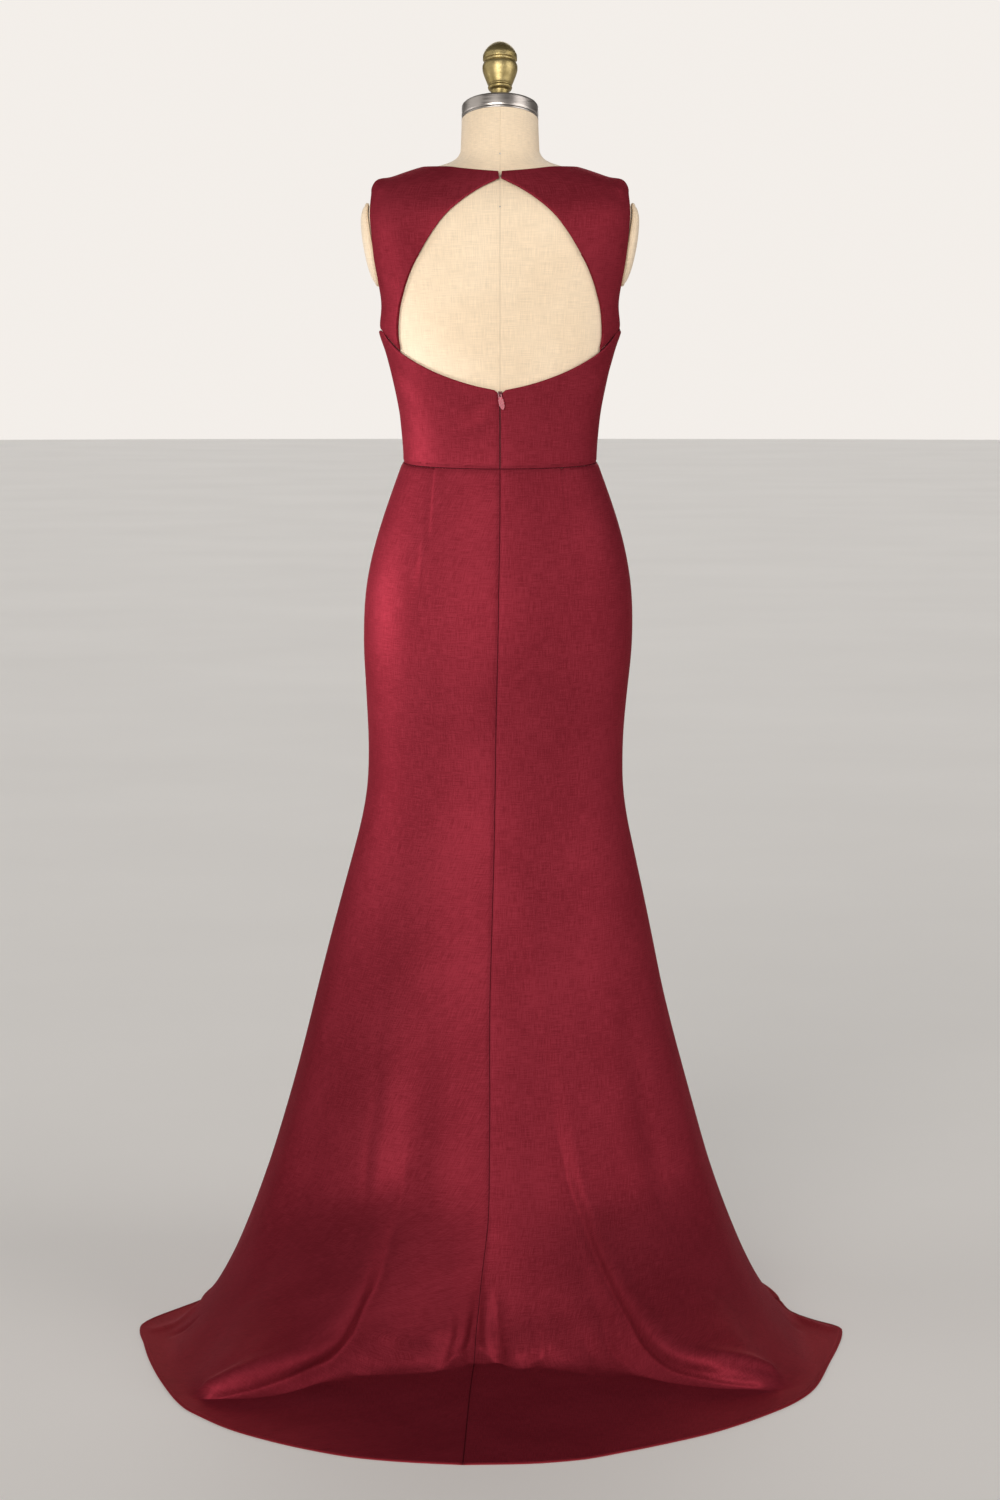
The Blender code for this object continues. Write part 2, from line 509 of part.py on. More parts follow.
def build_lower_back():
    """The two lower back pieces, from the waist seam up to the keyhole's foot."""
    across = 14
    top = evenly(TOP_OF_BACK, across)
    turn = np.linspace(90, 0, across)
    foot = np.stack([turn, waist_line(turn)], -1)
    part_up = np.array([0, 0.2, 0.4, 0.6, 0.8, NOTCH_FOOT, 1.0])
    side_seam = np.stack([np.full(7, 90.0), foot[0, 1] + (top[0, 1] - foot[0, 1]) * part_up], -1)
    opening = np.stack([np.zeros(7), foot[-1, 1] + (top[-1, 1] - foot[-1, 1]) * part_up], -1)
    opening[-1] = top[-1]
    grid = coons(foot, top, side_seam, opening)
    insets = {edge: SEAM_GAP / 2 for edge in ("first row", "last row", "first column", "last column")}
    for side, word in ((-1, "left"), (1, "right")):
        bodice_piece("back_bodice_" + word, grid, insets, side)


def build_front_bodice():
    """The front in one piece, from the waist seam over the bust to the neckline and shoulders."""
    low, arm, shoulder, across = 6, 9, 4, 12
    up_side = np.stack([np.full(low, 90.0), np.linspace(WAIST, UNDERARM[1], low)], -1)
    up_arm = evenly(ARMHOLE_FRONT, arm + 1)[1:]
    seam = evenly((ARMHOLE_FRONT[-1], NECK_CORNER), shoulder + 1)[1:]
    side = np.concatenate([up_side, up_arm, seam])
    turn = np.linspace(90, 180, across)
    foot = np.stack([turn, np.full(across, WAIST)], -1)
    neckline = evenly(NECKLINE_FRONT, across)
    middle = np.stack([np.full(len(side), 180.0), np.linspace(WAIST, neckline[-1, 1], len(side))], -1)
    half = coons(foot, neckline, side, middle)
    other = half[:, -2::-1].copy()
    other[..., 0] = 360 - other[..., 0]
    seams = {edge: SEAM_GAP / 2 for edge in ("first row", "first column", "last column")}
    bodice_piece("bodice_front", np.concatenate([half, other], axis=1), seams)


# The skirt
def ring_point(turn, height):
    """Points of the skirt's wrong side on its horizontal sections."""
    turn, height = np.broadcast_arrays(np.radians(turn), np.asarray(height, float))
    half, front, back, side, roundness, drift = section(SKIRT_SECTIONS, height)
    bow = np.abs(np.cos(turn))
    ahead = side + (front - side) * bow ** np.minimum(roundness, 1)
    y = np.where(np.cos(turn) >= 0, side - (side - back) * bow**roundness, ahead)
    return np.stack([drift + half * np.sin(turn), y, height], -1)


def fold_reach(side, share, height):
    """How far the folds of the back push the cloth out at this share and height."""
    reach = np.zeros(np.broadcast(share, height).shape)
    for fold_side, top_share, foot_share, top, foot, half_width, depth in FOLDS:
        if fold_side != side:
            continue
        along = np.clip((top - height) / (top - foot), 0, 1)
        centre = top_share + (foot_share - top_share) * along
        swell = along * along * (3 - 2 * along)
        fade = np.clip(height / foot, 0, 1)
        reach = reach + depth * swell * fade * np.exp(-((share - centre) / half_width) ** 2)
    return reach


def train_rows(side, share):
    """Low, crest, foot and hem points for these shares, smooth across the rows of the table."""
    table = np.array(TRAIN_RIGHT if side > 0 else TRAIN_LEFT)
    columns = smooth_through(table[:, 0], table[:, 1:], share)
    level = np.zeros(len(columns))
    low, crest = columns[:, 0:3], columns[:, 3:6]
    foot = np.column_stack([columns[:, 6:8], level])
    hem = np.column_stack([columns[:, 8:10], level])
    return low, crest, foot, hem


def upper_points(turn, height):
    """Points of the skirt's wrong side above the train, with the folds of the back."""
    points = ring_point(turn, height)
    away = np.array(np.broadcast_to(points, points.shape))
    away[..., 1] -= section(SKIRT_SECTIONS, height)[3]
    away[..., 2] = 0
    away /= np.linalg.norm(away, axis=-1, keepdims=True)
    behind = np.clip(np.abs(turn) / 90, 0, 1)
    reach = np.where(turn < 0, fold_reach(-1, behind, height), fold_reach(1, behind, height))
    reach = np.where(np.abs(turn) <= 90, reach, 0)
    return points + away * reach[..., None]


def down_lines(turn, lower, counts):
    """Rows of points down the skirt, one column for each turn: a row at the waist seam, at each of
    the row heights and at the lowest ring, then so many rows to each set of lower points."""
    height = np.array([WAIST, *ROW_HEIGHTS, LOWEST_RING])[:, None] * np.ones(len(turn))
    height[0] = waist_line(turn)
    upper = upper_points(turn[None] * np.ones(height.shape), height)
    lines = []
    for column in range(len(turn)):
        knots = np.concatenate([upper[:, column], [points[column] for points in lower]])
        along = np.concatenate([[0.0], np.cumsum(np.linalg.norm(np.diff(knots, axis=0), axis=1))])
        places = list(along[:len(upper)])
        for span, count in enumerate(counts, len(upper)):
            places += list(np.linspace(along[span - 1], along[span], count + 1)[1:])
        lines.append(smooth_through(along, knots, np.array(places)))
    return np.stack(lines, axis=1)


def build_skirt():
    """Front panel and two back panels with the train, cut from one surface round the form."""
    counts = ROWS_TO_LOW, ROWS_TO_CREST, ROWS_TO_FOOT, ROWS_TO_HEM
    share = np.linspace(0, 1, BACK_COLUMNS)
    right = down_lines(90 * share, train_rows(1, share), counts)
    left = down_lines(-90 * share[::-1], train_rows(-1, share[::-1]), counts)
    turn = np.linspace(90, 270, FRONT_COLUMNS)
    straight = [ring_point(turn, np.full(len(turn), z)) for z in FRONT_HEIGHTS]
    front = down_lines(turn, straight, counts)
    near = np.clip((np.abs(180 - turn) / 90 - SIDE_BLEND) / (1 - SIDE_BLEND), 0, 1)
    near = (near * near * (3 - 2 * near))[None, :, None]
    to_left, to_right = left[:, :1] - front[:, -1:], right[:, -1:] - front[:, :1]
    front = front + near * np.where((turn > 180)[None, :, None], to_left, to_right)
    whole = np.concatenate([right, front[:, 1:-1], left], axis=1)
    whole[..., 2] = np.maximum(whole[..., 2], 0)
    ringed = np.concatenate([whole[:, -2:-1], whole, whole[:, 1:2]], axis=1)
    across = ringed[:, 2:] - ringed[:, :-2]
    normal = np.cross(np.gradient(whole, axis=0), across)
    normal /= np.linalg.norm(normal, axis=-1, keepdims=True)
    normal[..., 2] = np.maximum(normal[..., 2], 0)
    normal[0, :, 2] = 0
    normal /= np.linalg.norm(normal, axis=-1, keepdims=True)
    outer = whole + CLOTH * normal
    right_seam = BACK_COLUMNS - 1
    left_seam = right_seam + FRONT_COLUMNS - 1
    panels = (("skirt_back_right", 0, right_seam), ("skirt_front", right_seam, left_seam),
              ("skirt_back_left", left_seam, whole.shape[1] - 1))
    for name, first, last in panels:
        own = slice(first, last + 1)
        below, above = whole[:, own].copy(), outer[:, own].copy()
        for edge in ("first row", "first column", "last column"):
            inset(below, above, edge, SEAM_GAP / 2)
        below[..., 2] = np.maximum(below[..., 2], 0)
        wall(name, below, above, CREPE)


# Zip, hook and eye
def zip_frame():
    """The y of the slider's face and the middle of the pull's hinge line."""
    cloth = on_form(0.0, ZIP_HEIGHT, EASE + CLOTH)
    face = cloth[1] - SLIDER_CLEAR - SLIDER_THICK
    return face, (0.0, face - HINGE_OUT, ZIP_HEIGHT - HINGE_DROP)


def build_slider():
    """The slider, a bevelled block with a square-wire bail arched over the pull's bar."""
    wide, tall, thick, bevel = SLIDER_WIDE / 2, SLIDER_TALL / 2, SLIDER_THICK, SLIDER_BEVEL
    drop = -HINGE_DROP
    x = np.array([-wide + bevel, -WIRE, WIRE, wide - bevel])
    z = np.array([-tall + bevel, drop - BAIL_REACH - WIRE, drop - BAIL_REACH + WIRE,
                  drop + BAIL_REACH - WIRE, drop + BAIL_REACH + WIRE, tall - bevel])
    points = [(a, 0.0, b) for b in z for a in x]
    faces = [(r * 4 + c, r * 4 + c + 1, r * 4 + c + 5, r * 4 + c + 4)
             for r in range(5) for c in range(3) if (r, c) not in ((1, 1), (3, 1))]
    bounds = [0, 1, 2, 3, 7, 11, 15, 19, 23, 22, 21, 20, 16, 12, 8, 4]
    near_edge = bevel * 1.5
    rim = bounds
    for depth, grow in ((bevel, bevel), (thick - bevel, bevel), (thick, 0.0)):
        start = len(points)
        for number in bounds:
            a, _, b = points[number]
            a += grow * np.sign(a) * (abs(a) > wide - near_edge)
            b += grow * np.sign(b) * (abs(b) > tall - near_edge)
            points.append((a, depth, b))
        ring = list(range(start, start + len(bounds)))
        faces += [(rim[k], rim[k - 1], ring[k - 1], ring[k]) for k in range(len(ring))]
        rim = ring
    faces.append(tuple(rim))
    previous = [5, 6, 10, 9]
    for angle in np.linspace(-90, 90, 9):
        start = len(points)
        lean = math.radians(angle)
        for a, reach in ((-WIRE, BAIL_REACH + WIRE), (WIRE, BAIL_REACH + WIRE), (WIRE, BAIL_REACH - WIRE),
                         (-WIRE, BAIL_REACH - WIRE)):
            points.append((a, -HINGE_OUT - reach * math.cos(lean), drop + reach * math.sin(lean)))
        ring = [start, start + 1, start + 2, start + 3]
        faces += [(previous[k - 1], previous[k], ring[k], ring[k - 1]) for k in range(4)]
        previous = ring
    last = [17, 18, 14, 13]
    faces += [(previous[k - 1], previous[k], last[k], last[k - 1]) for k in range(4)]
    slider = place("zip_slider", points, faces, ("painted_zip", LACQUER, 0.35, 0.2), 30)
    slider.location = (0, zip_frame()[0], ZIP_HEIGHT)


def build_pull():
    """The leaf-shaped pull. It swings on its top bar, whose axis is the object's X axis."""
    half_window = WINDOW_WIDE / 2
    points, faces = [], []

    def ring(place_list):
        start = len(points)
        points.extend(place_list)
        return list(range(start, start + len(place_list)))

    half = PULL_THICK / 2
    levels, reach = np.array(PULL_PROFILE).T
    sway = PULL_SLANT * np.clip(levels - PULL_SLANT_FROM, 0, None)
    front, back = [], []
    for level, out, aside in zip(levels, reach, sway):
        inner = half_window * (1 if level < WIRE + WINDOW_TALL else 0.5)
        row = [(aside - out, level), (aside - inner, level), (aside + inner, level), (aside + out, level)]
        front.append(ring([(a, -half, -b) for a, b in row]))
        back.append(ring([(a, half, -b) for a, b in row]))
    window_rows = (1, 2, 3)
    for r in range(len(levels) - 1):
        for c in range(3):
            if c == 1 and r in window_rows:
                continue
            faces.append((front[r][c], front[r][c + 1], front[r + 1][c + 1], front[r + 1][c]))
            faces.append((back[r][c + 1], back[r][c], back[r + 1][c], back[r + 1][c + 1]))
        for c, flip in ((0, 1), (3, 0)):
            quad = (front[r][c], front[r + 1][c], back[r + 1][c], back[r][c])
            faces.append(quad if flip else quad[::-1])
        if r in window_rows:
            for c, flip in ((1, 0), (2, 1)):
                quad = (front[r][c], front[r + 1][c], back[r + 1][c], back[r][c])
                faces.append(quad if flip else quad[::-1])
    for r in (0, 1, 4, len(levels) - 1):
        columns = range(3) if r in (0, len(levels) - 1) else (1,)
        for c in columns:
            faces.append((front[r][c], front[r][c + 1], back[r][c + 1], back[r][c]))
    pull = place("zip_pull", points, faces, ("painted_pull", LACQUER, 0.25, 0.2), 30)
    pull.location = zip_frame()[1]


def tube(name, middle, radius, finish, sides=6):
    """A round wire along a line of points, closed at both ends."""
    middle = np.asarray(middle, float)
    along = np.gradient(middle, axis=0)
    along /= np.linalg.norm(along, axis=-1, keepdims=True)
    first = np.cross(along[0], (0.0, 0.0, 1.0) if abs(along[0][2]) < 0.9 else (0.0, 1.0, 0.0))
    rings = []
    for point, forward in zip(middle, along):
        first = first - forward * np.dot(first, forward)
        first /= np.linalg.norm(first)
        second = np.cross(forward, first)
        angle = np.linspace(0, 2 * np.pi, sides, endpoint=False)[:, None]
        rings.append(point + radius * (np.cos(angle) * first + np.sin(angle) * second))
    return skin(name, rings, finish, 60)


def build_hook_and_eye():
    """The hook runs under the left yoke and curls round the eye, which runs under the right."""
    silver = ("silver_wire", (0.72, 0.72, 0.72, 1), 0.25, 1.0)
    half = float(section(FORM_SECTIONS, HOOK_HEIGHT)[0])

    def wire_points(rows):
        return [on_form(np.degrees(np.arcsin(x / half)), HOOK_HEIGHT + z, out) for x, out, z in rows]

    hook = [(x, out, 0.0) for x, out in HOOK_LINE]
    bend = [(EYE_BEND_X - EYE_BEND_WIDE * math.cos(lean), EYE_OUT, EYE_HALF_TALL * math.sin(lean))
            for lean in np.radians(np.linspace(-90, 90, 7))]
    lower = [(x, EYE_OUT, -EYE_HALF_TALL) for x in EYE_LEGS[::-1]]
    upper = [(x, EYE_OUT, EYE_HALF_TALL) for x in EYE_LEGS]
    tube("neck_hook", wire_points(hook), HOOK_WIRE, silver)
    tube("neck_eye", wire_points([*lower, *bend, *upper]), HOOK_WIRE, silver)


def main():
    for old in list(bpy.data.objects):
        bpy.data.objects.remove(old)
    build_torso()
    build_cap_and_finial()
    build_arm_plate(-1, "left")
    build_arm_plate(1, "right")
    build_stand()
    build_yokes()
    build_lower_back()
    build_front_bodice()
    build_skirt()
    build_slider()
    build_pull()
    build_hook_and_eye()


main()
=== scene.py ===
"""A sleeveless fishtail maxi dress on a linen dress form, seen from behind: its looks, built
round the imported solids. Metres, +Z up, the back of the dress towards -Y."""

import math

import bpy
import numpy as np
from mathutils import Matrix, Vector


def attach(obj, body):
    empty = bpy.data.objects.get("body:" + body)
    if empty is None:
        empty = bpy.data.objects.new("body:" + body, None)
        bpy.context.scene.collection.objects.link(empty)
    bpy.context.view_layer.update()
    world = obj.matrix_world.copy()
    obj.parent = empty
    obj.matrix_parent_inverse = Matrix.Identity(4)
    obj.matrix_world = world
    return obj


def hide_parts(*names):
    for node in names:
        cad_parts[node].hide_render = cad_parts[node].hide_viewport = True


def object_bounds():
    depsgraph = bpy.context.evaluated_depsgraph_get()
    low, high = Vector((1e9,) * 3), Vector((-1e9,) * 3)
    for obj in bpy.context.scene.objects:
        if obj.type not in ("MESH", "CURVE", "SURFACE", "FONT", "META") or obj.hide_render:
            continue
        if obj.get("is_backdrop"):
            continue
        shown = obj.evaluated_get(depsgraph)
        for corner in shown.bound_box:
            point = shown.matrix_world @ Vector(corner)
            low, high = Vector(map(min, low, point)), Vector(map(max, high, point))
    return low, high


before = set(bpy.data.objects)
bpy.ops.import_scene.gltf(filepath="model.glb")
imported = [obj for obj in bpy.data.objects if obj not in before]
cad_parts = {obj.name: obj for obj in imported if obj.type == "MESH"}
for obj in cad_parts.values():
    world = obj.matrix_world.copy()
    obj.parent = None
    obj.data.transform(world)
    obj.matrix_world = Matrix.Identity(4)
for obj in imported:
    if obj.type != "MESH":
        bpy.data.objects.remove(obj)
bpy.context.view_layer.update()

# The studio. A seamless pale floor runs out of sight under a pale sky. Broad soft light comes from
# behind the camera, from the left, the right and the far side, and a tall window light with a hood
# stands level with the body at the left, so that it reaches the hip but not the floor.
LENS, CAMERA_AT, CAMERA_TILT = 87.0, (0.0, -4.5, 1.2), 6.453
SOFT_LIGHTS = (
    # name, degrees round from the camera (left is below 0), degrees up, spread, strength, colour
    ("back_light", -14.0, 9.0, 36.0, 2.72, (1.0, 0.98, 0.955)),
    ("left_light", -88.0, 12.0, 60.0, 0.62, (1.0, 0.985, 0.96)),
    ("fill_light", 64.0, 8.0, 50.0, 1.70, (1.0, 0.98, 0.97)),
    ("front_light", 180.0, 16.0, 44.0, 0.85, (1.0, 0.99, 0.97)),
)
WINDOW_AT, WINDOW_SIZE, WINDOW_BEAM, WINDOW_WATTS = (-2.0, -0.12, 0.95), (0.45, 0.45), 30.0, 1.2
FLOOR_RADIUS, FLOOR_BELOW = 40.0, 0.0004


def node(tree, kind, inputs=(), **settings):
    """One shader node with its settings. An input given as a socket is linked, any other is set."""
    made = tree.nodes.new("ShaderNode" + kind)
    for key, value in settings.items():
        setattr(made, key, value)
    for key, value in dict(inputs).items():
        if isinstance(value, bpy.types.NodeSocket):
            tree.links.new(value, made.inputs[key])
        else:
            made.inputs[key].default_value = value
    return made


def blend_colours(tree, share, first, second):
    """The colour between two colours at a share from 0 to 1."""
    return node(tree, "Mix", {0: share, 6: first, 7: second}, data_type="RGBA").outputs[2]


def noise(tree, place, scale, detail):
    """A cloudy value from 0 to 1 over a place."""
    return node(tree, "TexNoise", {"Vector": place, "Scale": scale, "Detail": detail}).outputs["Fac"]


def finish_of(name, **sockets):
    """A new material, its node tree and its Principled shader, with constants set on the shader."""
    made = bpy.data.materials.new(name)
    made.use_nodes = True
    shader = made.node_tree.nodes["Principled BSDF"]
    for label, value in sockets.items():
        shader.inputs[label.replace("_", " ")].default_value = value
    return made, made.node_tree, shader


def wire(tree, shader, **sockets):
    """Links sockets into a shader's inputs, whose names are given with _ for a space."""
    for label, value in sockets.items():
        tree.links.new(value, shader.inputs[label.replace("_", " ")])


def piece(name, points, faces, finish, sharp=40.0):
    """A mesh object at the origin, from points and faces in the frame, smooth but for sharp edges."""
    mesh = bpy.data.meshes.new(name)
    mesh.from_pydata(np.asarray(points, float).reshape(-1, 3).tolist(), [], [list(f) for f in faces])
    mesh.shade_smooth()
    mesh.set_sharp_from_angle(angle=math.radians(sharp))
    mesh.materials.append(finish)
    made = bpy.data.objects.new(name, mesh)
    bpy.context.scene.collection.objects.link(made)
    return made


floor_finish, tree, shader = finish_of("pale_floor", Roughness=0.7, Emission_Color=(1.0, 0.96, 0.92, 1),
                                       Emission_Strength=0.17)
where = node(tree, "TexCoord").outputs["Object"]
tone = node(tree, "ValToRGB", {"Fac": noise(tree, where, 0.8, 4.0)})
for stop, place, colour in zip(tone.color_ramp.elements, (0.3, 0.7),
                               ((0.68, 0.655, 0.625, 1), (0.72, 0.695, 0.665, 1))):
    stop.position, stop.color = place, colour
wire(tree, shader, Base_Color=tone.outputs["Color"])
round_about = np.linspace(0, 2 * np.pi, 64, endpoint=False)
rim = np.stack([np.cos(round_about), np.sin(round_about), 0 * round_about], -1) * FLOOR_RADIUS
floor = piece("studio_floor", rim - (0, 0, FLOOR_BELOW), [range(len(rim))], floor_finish)
floor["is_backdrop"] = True

world = bpy.data.worlds.new("pale_sky")
world.use_nodes = True
seen = node(world.node_tree, "LightPath").outputs["Is Camera Ray"]
sky = blend_colours(world.node_tree, seen, (0.11, 0.105, 0.10, 1), (0.90, 0.86, 0.82, 1))
world.node_tree.links.new(sky, world.node_tree.nodes["Background"].inputs["Color"])
bpy.context.scene.world = world
bpy.context.scene.view_settings.view_transform = "Standard"

for name, round_by, up_by, spread, strength, colour in SOFT_LIGHTS:
    lamp = bpy.data.lights.new(name, "SUN")
    lamp.energy, lamp.color, lamp.angle = strength, colour, math.radians(spread)
    light = bpy.data.objects.new(name, lamp)
    light.rotation_euler = (math.radians(90 - up_by), 0, math.radians(round_by))
    bpy.context.scene.collection.objects.link(light)
lamp = bpy.data.lights.new("window_light", "AREA")
lamp.shape, lamp.size, lamp.size_y = "RECTANGLE", *WINDOW_SIZE
lamp.energy, lamp.spread = WINDOW_WATTS, math.radians(WINDOW_BEAM)
light = bpy.data.objects.new("window_light", lamp)
light.location = WINDOW_AT
light.rotation_euler = (math.radians(90), 0, math.radians(-90))
bpy.context.scene.collection.objects.link(light)

camera = bpy.data.objects.new("camera", bpy.data.cameras.new("camera"))
camera.data.lens, camera.data.sensor_width = LENS, 36.0
camera.data.clip_end = 200.0
camera.location = CAMERA_AT
camera.rotation_euler = (math.radians(90.0 - CAMERA_TILT), 0, 0)
bpy.context.scene.collection.objects.link(camera)
bpy.context.scene.camera = camera


# The stand. A turned cast-iron base plate, satin black, with a socket that takes a steel pole, and
# an iron flange screwed under the form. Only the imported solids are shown, in their real finishes.
def group(name, inputs, outputs):
    """A shader node group, with its input node's sockets and its output node."""
    tree = bpy.data.node_groups.new(name, "ShaderNodeTree")
    for label, kind, value in inputs:
        socket = tree.interface.new_socket(label, in_out="INPUT", socket_type="NodeSocket" + kind)
        if value is not None:
            socket.default_value = value
    for label, kind in outputs:
        tree.interface.new_socket(label, in_out="OUTPUT", socket_type="NodeSocket" + kind)
    return tree, tree.nodes.new("NodeGroupInput").outputs, tree.nodes.new("NodeGroupOutput")


def use(tree, held, inputs):
    """A node that holds a group, with its inputs linked or set."""
    return node(tree, "Group", inputs, node_tree=held)


def reckon(tree, operation, first, second=0.0):
    """One sum on two values or sockets."""
    return node(tree, "Math", {0: first, 1: second}, operation=operation).outputs[0]


def ranged(tree, value, low, high, to_low=0.0, to_high=1.0):
    """A value carried from one range to another, and held within it."""
    return node(tree, "MapRange", {0: value, 1: low, 2: high, 3: to_low, 4: to_high}).outputs[0]


def relief_of(tree, height, deep, strength):
    """The normal of a relief whose full height is this deep in metres."""
    return node(tree, "Bump", {"Height": height, "Distance": deep, "Strength": strength}).outputs[0]


mottle, given, result = group(
    "mottled_surface",
    (("Place", "Vector", None), ("Scale", "Float", 20.0), ("First", "Color", (0, 0, 0, 1)),
     ("Second", "Color", (1, 1, 1, 1)), ("Smooth", "Float", 0.3), ("Rough", "Float", 0.5)),
    (("Color", "Color"), ("Roughness", "Float"), ("Height", "Float")))
coarse = noise(mottle, given["Place"], given["Scale"], 5.0)
fine = noise(mottle, given["Place"], reckon(mottle, "MULTIPLY", given["Scale"], 9.0), 3.0)
drift = blend_colours(mottle, ranged(mottle, coarse, 0.32, 0.68), given["First"], given["Second"])
gloss = ranged(mottle, fine, 0.3, 0.7, given["Smooth"], given["Rough"])
for value, socket in zip((drift, gloss, fine), result.inputs):
    mottle.links.new(value, socket)


def mottled(name, scale, first, second, smooth, rough, bump, deep=0.0004, **sockets):
    """A material whose colour and gloss drift over the surface, with a faint grain in its relief."""
    made, tree, shader = finish_of(name, **sockets)
    where = node(tree, "TexCoord").outputs["Object"]
    drift = use(tree, mottle, {"Place": where, "Scale": scale, "First": first, "Second": second,
                               "Smooth": smooth, "Rough": rough})
    wire(tree, shader, Base_Color=drift.outputs[0], Roughness=drift.outputs[1],
         Normal=relief_of(tree, drift.outputs[2], deep, bump))
    return made


brushing, given, result = group(
    "brushed_round",
    (("Place", "Vector", None), ("Fine", "Float", 900.0)),
    (("Roughness", "Float"), ("Height", "Float")))
stretched = node(brushing, "Mapping", {"Vector": given["Place"], "Scale": (0.02, 0.02, 1.0)})
lines = noise(brushing, stretched.outputs[0], given["Fine"], 4.0)
brushing.links.new(ranged(brushing, lines, 0.3, 0.7, 0.26, 0.42), result.inputs[0])
brushing.links.new(lines, result.inputs[1])
steel_finish, tree, shader = finish_of("brushed_steel", Base_Color=(0.46, 0.42, 0.39, 1), Metallic=1.0)
where = node(tree, "TexCoord").outputs["Object"]
brushed = use(tree, brushing, {"Place": where, "Fine": 900.0}).outputs
wire(tree, shader, Roughness=brushed[0], Normal=relief_of(tree, brushed[1], 0.0002, 0.25))
iron_finish = mottled("black_iron", 14.0, (0.018, 0.018, 0.020, 1), (0.034, 0.033, 0.034, 1), 0.38, 0.55,
                      0.35, Metallic=0.3)


def refinish(node_name, finish):
    """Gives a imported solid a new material."""
    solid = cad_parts[node_name]
    solid.data.materials.clear()
    solid.data.materials.append(finish)
    solid.data.polygons.foreach_set("material_index", np.zeros(len(solid.data.polygons), np.int32))


refinish("stand_base", iron_finish)
refinish("stand_flange", iron_finish)
refinish("stand_pole", steel_finish)

# The torso of the dress form. A padded shell covered in cream linen, cut in panels whose seams run
# down the centre back, the centre front, the sides and through the bust and shoulder blades.
FORM_SECTIONS = (
    # height, half width, front, back, side, roundness
    (0.660, 0.1450, 0.098, -0.106, -0.004, 0.90), (0.740, 0.1500, 0.101, -0.114, -0.005, 0.90),
    (0.830, 0.1580, 0.103, -0.122, -0.006, 0.90), (0.880, 0.1585, 0.101, -0.120, -0.006, 0.90),
    (0.930, 0.1530, 0.098, -0.111, -0.005, 0.90), (0.980, 0.1400, 0.092, -0.100, -0.004, 0.90),
    (1.020, 0.1240, 0.085, -0.090, -0.002, 0.90), (1.050, 0.1155, 0.082, -0.085, 0.000, 0.90),
    (1.100, 0.1190, 0.085, -0.088, 0.000, 0.90), (1.160, 0.1300, 0.096, -0.096, -0.001, 0.88),
    (1.200, 0.1395, 0.105, -0.102, -0.003, 0.86), (1.245, 0.1430, 0.112, -0.107, -0.006, 0.84),
    (1.270, 0.1475, 0.108, -0.110, -0.008, 0.84), (1.300, 0.1545, 0.099, -0.113, -0.010, 0.84),
    (1.330, 0.1595, 0.086, -0.113, -0.012, 0.86), (1.352, 0.1612, 0.073, -0.109, -0.014, 0.90),
    (1.366, 0.1592, 0.061, -0.103, -0.015, 0.94), (1.377, 0.1545, 0.050, -0.096, -0.016, 1.00),
    (1.386, 0.1460, 0.041, -0.089, -0.018, 1.00), (1.394, 0.1310, 0.034, -0.083, -0.020, 1.00),
    (1.401, 0.1110, 0.030, -0.077, -0.021, 1.00), (1.4065, 0.0940, 0.028, -0.073, -0.021, 1.00),
    (1.4105, 0.0760, 0.028, -0.070, -0.020, 1.00), (1.4145, 0.0620, 0.030, -0.067, -0.018, 1.00),
    (1.420, 0.0530, 0.033, -0.064, -0.015, 1.00), (1.428, 0.0485, 0.036, -0.060, -0.012, 1.00),
)
BUST_HEIGHT, BUST_OUT, BUST_RISE = 1.240, 0.072, 0.016
BUST_SPREAD_X, BUST_SPREAD_Z = 0.042, 0.052
NECK_RINGS = (
    # height of its middle, y of its middle, radius, lean in degrees
    (1.4420, -0.0080, 0.0477, 7.0), (1.4560, -0.0030, 0.0472, 13.0), (1.4668, 0.0020, 0.0470, 18.0),
)
FORM_SEAMS = (
    # height and turn along the centre back, the back panel, the side, the front panel and the centre
    # front, each of them on both sides
    ((0.66, 0.0), (1.48, 0.0)),
    ((0.66, -37.0), (0.90, -34.0), (1.05, -31.0), (1.21, -34.6), (1.30, -38.6), (1.37, -40.0),
     (1.428, -44.0), (1.48, -46.0)),
    ((0.66, 90.0), (1.48, 90.0)),
    ((0.66, 142.0), (0.90, 144.0), (1.05, 146.0), (1.24, 149.0), (1.36, 143.0), (1.428, 138.0),
     (1.48, 136.0)),
    ((0.66, 180.0), (1.48, 180.0)),
)
FORM_SEAM_DEEP, FORM_SEAM_HALF = 0.0004, 0.0014
FORM_ROUND = 0.13       # mean radius of the form, which turns degrees round it into lengths of cloth
TORSO_FOOT, TORSO_BREAK, TORSO_TOP = 0.66, 1.34, 1.428         # rows are closer above the break
NECK_LONG = 0.045       # along the bend from the top of the torso to the cap


def gentle_slopes(rise):
    """Slopes at the knots of a curve that never overshoots: at each knot the harmonic mean of the
    rises on its two sides, or level where they differ in sign."""
    slope = np.concatenate([rise[:1], np.zeros_like(rise[1:]), rise[-1:]])
    same = rise[1:] * rise[:-1] > 0
    np.divide(2 * rise[1:] * rise[:-1], rise[1:] + rise[:-1], out=slope[1:-1], where=same)
    return slope


def cubic_pieces(knots, slope, span, part, width):
    """Places on the cubic pieces numbered in span, at a part t from 0 to 1 of each one's width: its
    ends count by 2t^3 - 3t^2 + 1 and 3t^2 - 2t^3, and its slopes by t^3 - 2t^2 + t and t^3 - t^2."""
    return ((2 * part**3 - 3 * part**2 + 1) * knots[span]
            + (part**3 - 2 * part**2 + part) * slope[span] * width
            + (3 * part**2 - 2 * part**3) * knots[span + 1]
            + (part**3 - part**2) * slope[span + 1] * width)


